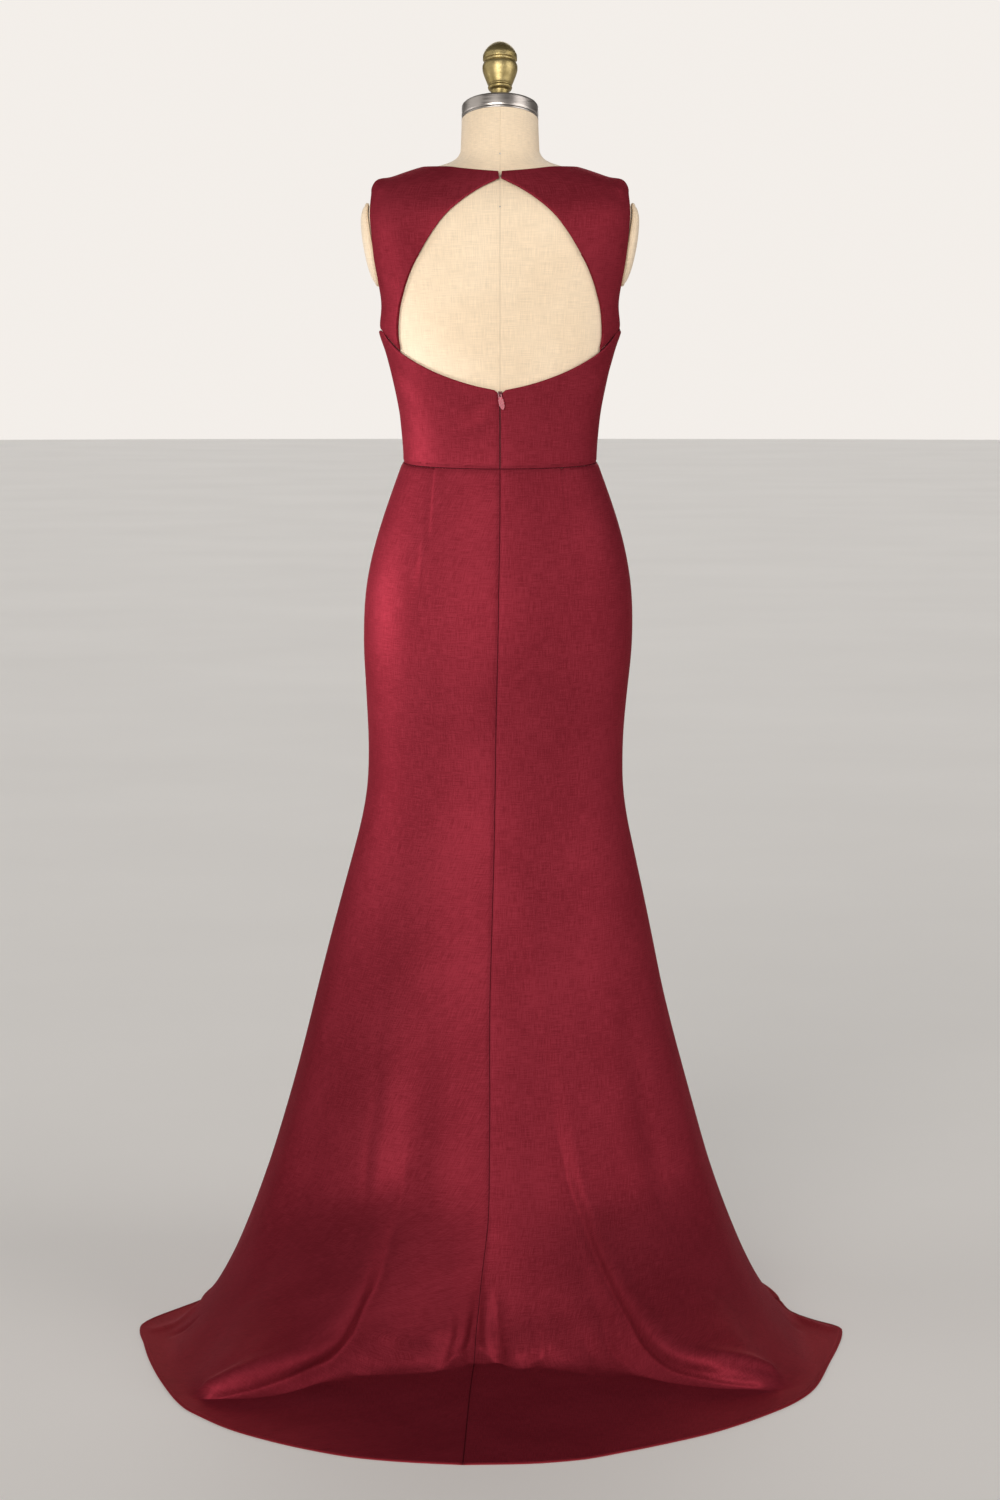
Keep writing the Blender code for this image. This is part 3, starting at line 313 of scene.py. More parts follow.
def smooth_through(knots, values, at):
    """Values on a curve of cubic pieces through the knots, with gentle slopes."""
    knots, values = np.asarray(knots, float), np.asarray(values, float)
    at = np.clip(np.asarray(at, float), knots[0], knots[-1])
    flat = values.reshape(len(knots), -1)
    step = np.diff(knots)[:, None]
    slope = gentle_slopes(np.diff(flat, axis=0) / step)
    span = np.clip(np.searchsorted(knots, at.ravel(), side="right") - 1, 0, len(step) - 1)
    width = step[span]
    part = (at.ravel() - knots[span])[:, None] / width
    return cubic_pieces(flat, slope, span, part, width).reshape(at.shape + values.shape[1:])


def bell_blur(values, spread):
    """Values averaged down their rows under a bell curve of this spread in rows, with the ends held
    and the slope there carried on by an odd reflection."""
    reach = max(int(3 * spread), 1)
    weights = np.exp(-0.5 * (np.arange(-reach, reach + 1) / spread) ** 2)
    weights /= weights.sum()
    room = ((reach, reach),) + ((0, 0),) * (values.ndim - 1)
    wide = np.pad(values, room, mode="reflect", reflect_type="odd")
    return sum(weight * wide[k:k + len(values)] for k, weight in enumerate(weights))


def softened(table, spread, step=0.002):
    """A table of sections as fine rows, blurred by a bell curve of this spread in metres."""
    rows = np.array(sorted(table))
    height = np.arange(rows[0, 0], rows[-1, 0] + step / 2, step)
    return height, bell_blur(smooth_through(rows[:, 0], rows[:, 1:], height), spread / step)


def section(table, height):
    """The columns of a softened table at these heights."""
    return [np.interp(height, table[0], column) for column in table[1].T]


form_table = softened(FORM_SECTIONS, 0.003)


def form_surface(turn, height):
    """The form at a turn in degrees from the centre back, +X at +90, and a height. A section is a
    sine across and a power of the cosine front to back, with two bell-shaped rises for the bust."""
    turn, height = np.broadcast_arrays(np.radians(turn), np.asarray(height, float))
    half, front, back, side, roundness = section(form_table, height)
    x = half * np.sin(turn)
    bow = np.abs(np.cos(turn)) ** roundness
    bust = BUST_RISE * np.exp(-((np.abs(x) - BUST_OUT) / BUST_SPREAD_X) ** 2
                              - ((height - BUST_HEIGHT) / BUST_SPREAD_Z) ** 2)
    y = np.where(np.cos(turn) >= 0, side - (side - back) * bow, side + (front - side + bust) * bow)
    return np.stack([x, y, height], axis=-1)


def unit(vectors):
    """Vectors brought to a length of 1."""
    return vectors / np.maximum(np.linalg.norm(vectors, axis=-1, keepdims=True), 1e-12)


def closed_skin(name, rings, finish, sharp=40.0, uv=None):
    """A skin over rings of points, foot first, each counter-clockwise seen from above, closed at both
    ends by a fan round the middle of the end ring."""
    rings = np.asarray(rings, float)
    count, around = rings.shape[:2]
    number = np.arange(count * around).reshape(count, around)
    after = np.roll(number, -1, axis=1)
    sides = np.stack([number[:-1], after[:-1], after[1:], number[1:]], -1).reshape(-1, 4)
    low, high = count * around, count * around + 1
    faces = [*sides.tolist(), *[(b, a, low) for a, b in zip(number[0], after[0])],
             *[(a, b, high) for a, b in zip(number[-1], after[-1])]]
    points = np.concatenate([rings.reshape(-1, 3), [rings[0].mean(0), rings[-1].mean(0)]])
    made = piece(name, points, faces, finish, sharp)
    if uv is not None:
        flat = np.concatenate([np.asarray(uv, float).reshape(-1, 2), [uv[0, 0], uv[-1, 0]]])
        lay_uv(made.data, "cloth", flat)
    return made


def lay_uv(mesh, name, flat):
    """A UV map from one pair of values for each point."""
    layer = mesh.uv_layers.new(name=name)
    corners = np.zeros(len(mesh.loops), np.int32)
    mesh.loops.foreach_get("vertex_index", corners)
    layer.data.foreach_set("uv", flat[corners].astype(np.float32).ravel())


weave, given, result = group(
    "thread_weave",
    (("Place", "Vector", None), ("Threads", "Float", 1400.0), ("Slub", "Float", 0.5)),
    (("Height", "Float"), ("Shade", "Float")))
parts = node(weave, "SeparateXYZ", {0: given["Place"]}).outputs
angle = reckon(weave, "MULTIPLY", given["Threads"], math.pi)
over = reckon(weave, "SINE", reckon(weave, "MULTIPLY", parts[0], angle))
under = reckon(weave, "SINE", reckon(weave, "MULTIPLY", parts[1], angle))
crossing = reckon(weave, "MULTIPLY", over, under)
warp = node(weave, "Mapping", {"Vector": given["Place"], "Scale": (1.0, 0.045, 1.0)}).outputs[0]
weft = node(weave, "Mapping", {"Vector": given["Place"], "Scale": (0.045, 1.0, 1.0)}).outputs[0]
ends = noise(weave, warp, given["Threads"], 2.0)
picks = noise(weave, weft, given["Threads"], 2.0)
slub = reckon(weave, "SUBTRACT", reckon(weave, "ADD", ends, picks), 1.0)
weave.links.new(reckon(weave, "ADD", reckon(weave, "MULTIPLY", crossing, 0.35),
                       reckon(weave, "MULTIPLY", slub, given["Slub"])), result.inputs[0])
weave.links.new(reckon(weave, "ADD", reckon(weave, "MULTIPLY", slub, given["Slub"]), 0.5), result.inputs[1])

linen_finish, tree, shader = finish_of("linen_cover", Roughness=0.86, Sheen_Weight=0.25, Sheen_Roughness=0.5)
flat_place = node(tree, "UVMap", uv_map="cloth").outputs[0]
threads = use(tree, weave, {"Place": flat_place, "Threads": 1150.0, "Slub": 1.5})
where = node(tree, "TexCoord").outputs["Object"]
aged = ranged(tree, noise(tree, where, 7.0, 4.0), 0.35, 0.65)
warm = blend_colours(tree, aged, (0.76, 0.60, 0.42, 1), (0.83, 0.675, 0.49, 1))
light_thread = ranged(tree, threads.outputs[1], 0.0, 1.0, 0.86, 1.10)
toned = node(tree, "VectorMath", {0: warm, 3: light_thread}, operation="SCALE").outputs[0]
round_by = node(tree, "SeparateXYZ", {0: flat_place}).outputs[0]
from_seam = reckon(tree, "PINGPONG", round_by, math.pi / 4 * FORM_ROUND)
on_seam = ranged(tree, from_seam, 0.0003, 0.0011, 0.86, 1.0)
seamed = node(tree, "VectorMath", {0: toned, 3: on_seam}, operation="SCALE").outputs[0]
wire(tree, shader, Base_Color=seamed, Normal=relief_of(tree, threads.outputs[0], 0.0003, 0.55))

even_turn = np.linspace(-180, 180, 361)[:-1]
torso_height = np.concatenate([np.linspace(TORSO_FOOT, TORSO_BREAK, 110),
                               np.linspace(TORSO_BREAK, TORSO_TOP, 46)[1:]])
stack = [form_surface(even_turn, z) for z in torso_height]
neck_knots = [stack[-4], stack[-1]]
for height, y, radius, lean in NECK_RINGS:
    tip, angle = math.radians(lean), np.radians(even_turn)
    neck_knots.append(np.stack([radius * np.sin(angle), y - radius * np.cos(angle) * math.cos(tip),
                                height + radius * np.cos(angle) * math.sin(tip)], -1))
neck_at = [0.0, 0.006, 0.020, 0.034, NECK_LONG]
up_neck = np.linspace(neck_at[1], NECK_LONG, 20)[1:]
rings = np.concatenate([np.array(stack), smooth_through(neck_at, np.array(neck_knots), up_neck)])
tall = np.concatenate([torso_height, TORSO_TOP + up_neck - neck_at[1]])[:, None]
groove = np.zeros(rings.shape[:2])
for seam in FORM_SEAMS:
    seam_turn = smooth_through(*np.array(seam).T, tall)
    for side in (1, -1):
        apart = np.radians((even_turn[None] - side * seam_turn + 180) % 360 - 180) * FORM_ROUND
        groove = np.maximum(groove, np.exp(-(apart / FORM_SEAM_HALF) ** 2))
across = np.roll(rings, -1, 1) - np.roll(rings, 1, 1)
normal = unit(np.cross(across, np.gradient(rings, axis=0)))
rings = rings - normal * (FORM_SEAM_DEEP * groove)[..., None]
torso_uv = np.stack(np.broadcast_arrays(np.radians(even_turn)[None] * FORM_ROUND, tall), -1)
torso = closed_skin("torso_linen", rings, linen_finish, uv=torso_uv)
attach(torso, "dress_and_form")
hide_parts("form_torso")

# The arm pads. An oval board padded and covered in the same linen closes each arm opening, its edge
# rolled over a cord and stitched to the torso.
ARM_PAD_TURN, ARM_PAD_HEIGHT, ARM_PAD_HALF_TURN, ARM_PAD_HALF_TALL = 92.0, 1.316, 13.0, 0.050
ARM_PAD_PROFILE = (
    # share of the oval's size, distance out from the form
    (0.001, 0.0012), (0.92, 0.0012), (0.985, 0.0016), (1.000, 0.0030), (0.990, 0.0046), (0.950, 0.0058),
    (0.915, 0.0056), (0.890, 0.0066), (0.820, 0.0080), (0.600, 0.0097), (0.300, 0.0103), (0.001, 0.0104),
)


def on_form(turn, height, out):
    """Points a distance out from the form along its normal, which is the cross product of the
    surface's steps across and up."""
    across = form_surface(turn + 0.5, height) - form_surface(turn - 0.5, height)
    up = form_surface(turn, height + 0.001) - form_surface(turn, height - 0.001)
    return form_surface(turn, height) + np.asarray(out, float)[..., None] * unit(np.cross(across, up))


pad_share, pad_out = np.array(ARM_PAD_PROFILE).T
pad_step = np.linspace(0, len(pad_share) - 1, 56)
share = smooth_through(np.arange(len(pad_share)), pad_share, pad_step)[:, None]
out = smooth_through(np.arange(len(pad_share)), pad_out, pad_step)[:, None]
oval = np.linspace(0, 2 * np.pi, 120, endpoint=False)[None]
for side, word in ((-1, "left"), (1, "right")):
    rings = on_form(ARM_PAD_TURN + ARM_PAD_HALF_TURN * share * np.cos(oval),
                    ARM_PAD_HEIGHT + ARM_PAD_HALF_TALL * share * np.sin(oval),
                    out * np.ones_like(oval)) * (side, 1, 1)
    if side < 0:
        rings = rings[:, ::-1]
    pad = closed_skin("arm_pad_" + word, rings, linen_finish, uv=rings[..., 1:])
    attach(pad, "dress_and_form")
    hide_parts("form_arm_plate_" + word)

# The neck cap and finial. A spun steel cap covers the end of the neck, and a turned brass finial
# is screwed into it. Both are tipped forward with the neck.
CAP_HEIGHT, CAP_GAP = 0.0190, 0.0003
CAP_PROFILE = (
    # radius, height above the neck
    (0.0462, 0.0000), (0.0471, 0.0004), (0.0472, 0.0016), (0.0466, 0.0026), (0.0466, 0.0034),
    (0.0471, 0.0044), (0.0472, 0.0060), (0.0472, 0.0160), (0.0468, 0.0178), (0.0456, 0.0188),
    (0.0420, 0.0190), (0.0200, 0.0190),
)
FINIAL_PROFILE = (
    # radius, height above the cap
    (0.0150, 0.0000), (0.0150, 0.0040), (0.0124, 0.0080), (0.0106, 0.0130), (0.0110, 0.0185),
    (0.0140, 0.0210), (0.0150, 0.0235), (0.0140, 0.0258), (0.0151, 0.0275), (0.0174, 0.0335),
    (0.0200, 0.0405), (0.0215, 0.0465), (0.0217, 0.0500), (0.0207, 0.0540), (0.0188, 0.0562),
    (0.0190, 0.0578), (0.0211, 0.0600), (0.0211, 0.0640), (0.0190, 0.0700), (0.0150, 0.0755),
    (0.0100, 0.0797), (0.0050, 0.0822),
)


def lengths_along(line):
    """How far along a line of places each of them lies."""
    return np.concatenate([[0.0], np.cumsum(np.linalg.norm(np.diff(line, axis=0), axis=1))])


def turned(name, profile, base, lean, finish, rows, sharp=55.0):
    """A profile of radii and heights, smoothed, carried round an axis tipped forward by the lean."""
    knots = lengths_along(profile)
    radius, height = smooth_through(knots, profile, np.linspace(0, knots[-1], rows)).T
    angle = np.linspace(0, 2 * np.pi, 96, endpoint=False)
    x = radius[:, None] * np.cos(angle)
    y = radius[:, None] * np.sin(angle)
    z = height[:, None] + 0 * angle
    tipped = np.stack([x, y * math.cos(lean) + z * math.sin(lean),
                       -y * math.sin(lean) + z * math.cos(lean)], -1)
    return closed_skin(name, base + tipped, finish, sharp)


brass_finish = mottled("aged_brass", 60.0, (0.29, 0.22, 0.085, 1), (0.50, 0.40, 0.19, 1), 0.36, 0.52,
                       0.3, deep=0.0003, Metallic=1.0)
neck_height, neck_y, _, neck_lean = NECK_RINGS[-1]
neck_lean = math.radians(neck_lean)
neck_up = np.array([0.0, math.sin(neck_lean), math.cos(neck_lean)])
neck_end = np.array([0.0, neck_y, neck_height])
cap = turned("neck_cap", CAP_PROFILE, neck_end + CAP_GAP * neck_up, neck_lean, steel_finish, 60)
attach(cap, "dress_and_form")
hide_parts("form_neck_cap")
finial = turned("brass_finial", FINIAL_PROFILE, neck_end + (CAP_HEIGHT + 2 * CAP_GAP) * neck_up, neck_lean,
                brass_finish, 150)
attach(finial, "dress_and_form")
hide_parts("form_finial")

# The bodice. Five pieces of burgundy crepe, faced with the same cloth: a front cut in one, two upper
# back pieces that frame the keyhole, and two lower back pieces with a dart each. Plain seams join them.
CLOTH, EASE, SEAM_GAP = 0.0016, 0.0025, 0.0003
WAIST, WAIST_DIP = 1.050, 0.006
ARM_CORNER_TURN, ARM_CORNER_HEIGHT, ARM_CORNER_OUT = 88.0, 1.216, 0.0050
HOOK_HEIGHT, HOOK_OUT = 1.3955, 0.0014
ARM_CORNER_SPREAD, HOOK_SPREAD = (11, 0.019), (12, 0.013)
KEYHOLE_EDGE = (
    # x of the edge, height
    (0.1215, 1.1885), (0.1240, 1.200), (0.1245, 1.212), (0.1226, 1.236), (0.1168, 1.260),
    (0.1080, 1.284), (0.0950, 1.3076), (0.0796, 1.3314), (0.0588, 1.3552), (0.0242, 1.3800),
    (0.0012, 1.3912),
)
ARMHOLE_BACK = ((83.0, 1.2150), (82.0, 1.2400), (80.0, 1.2700), (76.5, 1.3050), (74.5, 1.3350),
                (75.0, 1.3550), (78.5, 1.3720), (90.0, 1.3850))
ARMHOLE_FRONT = ((90.0, 1.2120), (99.0, 1.2220), (105.0, 1.2450), (109.0, 1.2800),
                 (111.0, 1.3200), (109.0, 1.3520), (104.0, 1.3700), (90.0, 1.3850))
NECK_CORNER = (90.0, 1.4065)
NECKLINE_BACK = ((90.0, 1.4065), (45.0, 1.4062), (22.0, 1.4035), (1.0, 1.3995))
NECKLINE_FRONT = ((90.0, 1.4065), (112.0, 1.3980), (135.0, 1.3730), (158.0, 1.3540), (180.0, 1.3480))
UNDERARM = (90.0, 1.2120)
YOKE_FOOT = ((83.0, 1.2130), (72.0, 1.2010), (60.5, 1.1885))
TOP_OF_BACK = ((90.0, 1.2120), (83.0, 1.2120), (72.0, 1.1990), (60.5, 1.1855), (50.0, 1.1745),
               (34.0, 1.1595), (15.0, 1.1460), (3.0, 1.1402))
NOTCH_FOOT, ZIP_SPLIT = 0.948, 0.30
SEAM_ROLL, SEAM_ROLL_WIDE = 0.00095, 0.0030     # how deep and how wide the cloth rolls into a seam
EDGE_ROLL, EDGE_ROLL_WIDE = 0.00080, 0.0011     # the same at a faced edge
GAP_REACH, DEEPEST_PUSH = 0.0008, -0.0018       # how near a seam its gap opens; the most a fold goes in
FOLD_ROOM, FOLD_STEPS = 3.0, 12         # half widths that a fold reaches; steps between its places
OFF_SURFACE = 0.6       # share of the distance off the cloth's surface that a fold leaves out
EDGE_STEPS = {"first row": (0, 1), "last row": (0, -1), "first column": (1, 1), "last column": (1, -1)}


def ease(turn, height):
    """Space between the form and the cloth: even, with a bell-shaped rise at the armhole's lower
    corner and one at the hook."""
    corner = np.exp(-((turn - ARM_CORNER_TURN) / ARM_CORNER_SPREAD[0]) ** 2
                    - ((height - ARM_CORNER_HEIGHT) / ARM_CORNER_SPREAD[1]) ** 2)
    hook = np.exp(-(turn / HOOK_SPREAD[0]) ** 2 - ((height - HOOK_HEIGHT) / HOOK_SPREAD[1]) ** 2)
    return EASE + ARM_CORNER_OUT * corner + HOOK_OUT * hook


def waist_line(turn):
    """Height of the waist seam, which dips a little towards the centre back."""
    behind = np.clip(1 - np.abs(turn) / 90, 0, 1)
    return WAIST - WAIST_DIP * (1 - (1 - behind) ** 2)


def evenly(points, share):
    """Places at these shares of the length of a smooth curve through points of turn and height."""
    knots = lengths_along(np.asarray(points, float) * (np.radians(FORM_ROUND), 1.0))
    return smooth_through(knots, points, np.asarray(share) * knots[-1])


def coons(bottom, top, left, right, u, v):
    """A grid that fills four edges: the two ruled surfaces between facing edges, added, less the
    bilinear surface through the corners. u and v are the shares at which the edges are given."""
    u, v = u[None, :, None], v[:, None, None]
    ruled = (1 - v) * bottom[None] + v * top[None] + (1 - u) * left[:, None] + u * right[:, None]
    corners = ((1 - u) * (1 - v) * bottom[0] + u * (1 - v) * bottom[-1]
               + (1 - u) * v * top[0] + u * v * top[-1])
    return ruled - corners


def crowded(count, length, ends=(True, True)):
    """Shares from 0 to 1 in even steps, with closer ones near the ends that roll into a seam."""
    close = np.array([0.0003, 0.0007, 0.0012, 0.0019, 0.0028, 0.0040]) / length
    share = [np.linspace(0, 1, count)]
    if ends[0]:
        share.append(close)
    if ends[1]:
        share.append(1 - close)
    return np.unique(np.concatenate(share).round(9))


def margins(points):
    """How far each point of a grid is from its first row, last row, first and last column, measured
    along the grid's own lines."""
    down = np.linalg.norm(np.diff(points, axis=0), axis=-1)
    along = np.linalg.norm(np.diff(points, axis=1), axis=-1)
    down = np.concatenate([np.zeros((1, points.shape[1])), np.cumsum(down, 0)])
    along = np.concatenate([np.zeros((points.shape[0], 1)), np.cumsum(along, 1)], 1)
    return {"first row": down, "last row": down[-1:] - down,
            "first column": along, "last column": along[:, -1:] - along}


def normals_of(points):
    """Unit normals of a grid, from the cross product of its steps along rows and up columns."""
    return unit(np.cross(np.gradient(points, axis=1), np.gradient(points, axis=0)))


def rolled(away, edges, deep, wide):
    """How much a wall thins at these edges, deep * exp(-(d / wide)^2) at a distance d from one."""
    return np.max([deep * np.exp(-(away[edge] / wide) ** 2) for edge in edges], axis=0)


def drawn_back(inner, away, edges):
    """A wrong side drawn back from these edges by half a seam gap, times exp(-(d / reach)^2)."""
    for edge in edges:
        axis, sign = EDGE_STEPS[edge]
        near = np.exp(-(away[edge] / GAP_REACH) ** 2)[..., None]
        inner = inner + sign * unit(np.gradient(inner, axis=axis)) * near * SEAM_GAP / 2
    return inner


def cloth_wall(name, inner, outer, uv, finish, edge_uv=None):
    """A closed wall of cloth between two grids of the same size, with a rim along each edge."""
    rows, columns = inner.shape[:2]
    number = np.arange(rows * columns).reshape(rows, columns)
    quads = np.stack([number[:-1, :-1], number[:-1, 1:], number[1:, 1:], number[1:, :-1]], -1).reshape(-1, 4)
    loop = np.concatenate([number[0, :-1], number[:-1, -1], number[-1, :0:-1], number[:0:-1, 0]])
    far = rows * columns
    rim = np.stack([loop, np.roll(loop, -1), np.roll(loop, -1) + far, loop + far], -1)
    faces = np.concatenate([quads[:, ::-1], quads + far, rim])
    points = np.concatenate([inner.reshape(-1, 3), outer.reshape(-1, 3)])
    made = piece(name, points, faces.tolist(), finish, 60.0)
    lay_uv(made.data, "cloth", np.tile(uv.reshape(-1, 2), (2, 1)))
    if edge_uv is not None:
        lay_uv(made.data, "edge", np.tile(edge_uv.reshape(-1, 2), (2, 1)))
    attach(made, "dress_and_form")
    return made


def pushed(points, normals, folds):
    """How far soft folds push each point out. A fold is a line of places with a half width and a
    depth at its start, middle and end, and its height over the distance d to the line is
    depth * exp(-(d / half width)^2), dying away past both ends. Distance off the surface counts for
    less than distance along it. A steep fold also has the share of its half width that it keeps on
    its left and on its right, as one walks along it."""
    reach = np.zeros(points.shape[:-1])
    for half_widths, depths, line, *steep in folds:
        line = np.asarray(line, float)
        knots = lengths_along(line)
        fine = smooth_through(knots, line, np.linspace(0, knots[-1], FOLD_STEPS * len(line)))
        room = FOLD_ROOM * max(half_widths)
        close = np.all((points > line.min(0) - room) & (points < line.max(0) + room), axis=-1)
        near, facing = points[close], normals[close]
        best, share, rightward = np.full(len(near), np.inf), np.zeros(len(near)), np.zeros(len(near))
        ahead = np.gradient(fine, axis=0)
        for k, place in enumerate(fine):
            off = near - place
            apart = np.sum(off * off, -1) - OFF_SURFACE * np.sum(off * facing, -1) ** 2
            closer = apart < best
            share = np.where(closer, k / (len(fine) - 1), share)
            best = np.where(closer, apart, best)
            if steep:
                right = np.cross(ahead[k], facing)
                lengths = np.linalg.norm(right, axis=-1) * np.linalg.norm(off, axis=-1)
                rightward = np.where(closer, np.sum(right * off, -1) / np.maximum(lengths, 1e-12), rightward)
        half = np.interp(share, (0, 0.5, 1), half_widths)
        if steep:
            half = half * np.interp(rightward, (-1, 1), steep[0])
        reach[close] += np.interp(share, (0, 0.5, 1), depths) * np.exp(-best / half**2)
    return reach


crepe_surface, given, result = group(
    "crepe_surface",
    (("Place", "Vector", None), ("First", "Color", (0, 0, 0, 1)), ("Second", "Color", (1, 1, 1, 1))),
    (("Color", "Color"), ("Roughness", "Float"), ("Height", "Float")))
threads = use(crepe_surface, weave, {"Place": given["Place"], "Threads": 1250.0, "Slub": 1.4})
drift = noise(crepe_surface, given["Place"], 9.0, 4.0)
pebble = noise(crepe_surface, given["Place"], 560.0, 3.0)
share = reckon(crepe_surface, "ADD", reckon(crepe_surface, "MULTIPLY", drift, 0.6),
               reckon(crepe_surface, "MULTIPLY", pebble, 0.6))
share = reckon(crepe_surface, "ADD", share, reckon(crepe_surface, "MULTIPLY", threads.outputs[1], 0.7))
share = ranged(crepe_surface, share, 0.78, 1.12)
shade = blend_colours(crepe_surface, share, given["First"], given["Second"])
gloss = ranged(crepe_surface, pebble, 0.3, 0.7, 0.46, 0.60)
grain = reckon(crepe_surface, "ADD", reckon(crepe_surface, "MULTIPLY", threads.outputs[0], 0.6), pebble)
for value, socket in zip((shade, gloss, grain), result.inputs):
    crepe_surface.links.new(value, socket)


def crepe(name):
    """The dress's crepe, a fine matt weave with a little sheen, as a material with its tree."""
    made, tree, shader = finish_of(name, Metallic=0.40, IOR=1.05, Specular_Tint=(0.70, 0.12, 0.18, 1),
                                   Sheen_Weight=0.03, Sheen_Roughness=0.4, Sheen_Tint=(0.8, 0.1, 0.2, 1))
    flat_place = node(tree, "UVMap", uv_map="cloth").outputs[0]
    surface = use(tree, crepe_surface, {"Place": flat_place, "First": (0.160, 0.0138, 0.0222, 1),
                                        "Second": (0.228, 0.0222, 0.0352, 1)})
    wire(tree, shader, Base_Color=surface.outputs[0], Roughness=surface.outputs[1],
         Normal=relief_of(tree, surface.outputs[2], 0.00035, 0.40))
    return made, tree, shader, surface.outputs[0]


crepe_finish = crepe("crepe")[0]


def on_body(line):
    """Places on the form from turns in degrees and heights."""
    return form_surface(*np.array(line, float).T)


def bodice_piece(name, edges, seams, faced, folds, side=1):
    """A wall of cloth over the form from a grid of turns and heights. Its outside rolls in at seams
    and faced edges, and soft folds push it out or in."""
    turn, height = edges[..., 0], edges[..., 1]
    inner = on_form(turn, height, ease(turn, height)) * (side, 1, 1)
    outer = on_form(turn, height, ease(turn, height) + CLOTH) * (side, 1, 1)
    if side < 0:
        inner, outer, turn = inner[:, ::-1], outer[:, ::-1], -turn[:, ::-1]
        height = height[:, ::-1]
        flip = {"first column": "last column", "last column": "first column"}
        seams = [flip.get(edge, edge) for edge in seams]
        faced = [flip.get(edge, edge) for edge in faced]
    normal = normals_of(outer)
    away = margins(outer)
    roll = np.maximum(rolled(away, seams, SEAM_ROLL, SEAM_ROLL_WIDE),
                      rolled(away, faced, EDGE_ROLL, EDGE_ROLL_WIDE))
    reach = pushed(outer, normal, [(half, deep, on_body(line)) for half, deep, line in folds])
    inner = inner + normal * np.clip(reach, DEEPEST_PUSH, None)[..., None]
    inner = drawn_back(inner, away, seams)
    outer = inner + normal * (CLOTH - roll)[..., None]
    uv = np.stack([np.radians(turn) * FORM_ROUND, height], -1)
    return cloth_wall(name, inner, outer, uv, crepe_finish)


def joined(parts, length):
    """One list of shares from several stretches, each given as its start, end and count, with closer
    ones at both ends."""
    return np.unique(np.concatenate([*(np.linspace(*part) for part in parts), crowded(2, length)]).round(9))


def stretch(value, low, high=1.0):
    """How far a value is on the way from low to high, held between 0 and 1."""
    return np.clip((value - low) / (high - low), 0, 1)


def outer_edge_of(armhole, v, foot, top):
    """An outer edge, up the armhole between the shares foot and top, then along the shoulder to the
    neck."""
    shoulder = evenly((armhole[-1], NECK_CORNER), stretch(v, top))
    return np.where((v <= top)[:, None], evenly(armhole, stretch(v, foot, top)), shoulder)


# Each fold has its half widths and its depths at start, middle and end, and a line of turns and heights.
TIP_HALF, TIP_DEEP = (0.01, 0.011, 0.01), (0.003, 0.0062, 0.003)
SHOULDER_TIPS = (
    (TIP_HALF, TIP_DEEP, ((70, 1.379), (83, 1.3855), (97, 1.38))),
    (TIP_HALF, TIP_DEEP, ((-70, 1.379), (-83, 1.3855), (-97, 1.38))),
)
YOKE_FOLDS = SHOULDER_TIPS + (
    ((0.01, 0.012, 0.01), (-0.0002, -0.0008, -0.0003), ((-66, 1.345), (-60, 1.3), (-66, 1.25))),
    ((0.009, 0.01, 0.009), (0.0001, 0.0008, 0.0003), ((-76, 1.31), (-70, 1.265), (-74, 1.225))),
    ((0.01, 0.012, 0.01), (-0.0002, -0.0007, -0.0002), ((62, 1.35), (58, 1.31), (64, 1.262))),
    ((0.008, 0.01, 0.008), (0.0001, 0.0007, 0.0002), ((75, 1.29), (68, 1.25), (71, 1.222))),
    ((0.008, 0.008, 0.01), (0.0002, 0.0006, 0.0002), ((-8, 1.393), (-24, 1.388), (-46, 1.386))),
    ((0.008, 0.008, 0.01), (0.0002, 0.0005, 0.0002), ((7, 1.393), (20, 1.39), (38, 1.388))),
)
ZIP_EDGES = [((0.0016,) * 3, (-0.001, -0.0011, -0.0011), ((turn, 1.136), (turn, 1.085), (turn, 1.032)))
             for turn in (-0.2, 0.2)]
BACK_FOLDS_LEFT = (
    ZIP_EDGES[0],
    ((0.007, 0.01, 0.012), (-0.0004, -0.001, -0.0002), ((-4, 1.132), (-14, 1.118), (-30, 1.112))),
    ((0.006, 0.008, 0.01), (0.0003, 0.0008, 0.0002), ((-3, 1.12), (-12, 1.1), (-26, 1.088))),
    ((0.009, 0.011, 0.012), (-0.0003, -0.001, -0.0003), ((-84, 1.19), (-66, 1.16), (-44, 1.13))),
    ((0.01, 0.012, 0.012), (0.0003, 0.0009, 0.0002), ((-88, 1.17), (-70, 1.138), (-50, 1.108))),
    ((0.008, 0.009, 0.01), (-0.0002, -0.0007, -0.0002), ((-86, 1.11), (-68, 1.088), (-54, 1.076))),
)
BACK_FOLDS_RIGHT = (
    ZIP_EDGES[1],
    ((0.007, 0.01, 0.012), (-0.0004, -0.0009, -0.0002), ((4, 1.13), (12, 1.112), (24, 1.1))),
    ((0.009, 0.011, 0.012), (-0.0003, -0.0009, -0.0003), ((86, 1.196), (70, 1.172), (46, 1.148))),
    ((0.01, 0.012, 0.012), (0.0003, 0.001, 0.0002), ((87, 1.176), (68, 1.15), (52, 1.116))),
    ((0.008, 0.009, 0.01), (-0.0002, -0.0008, -0.0002), ((80, 1.1), (62, 1.084), (44, 1.078))),
)
DART_HALF, DART_DEEP = (0.0022, 0.0022, 0.0032), (-0.0012, -0.0012, -0.0003)
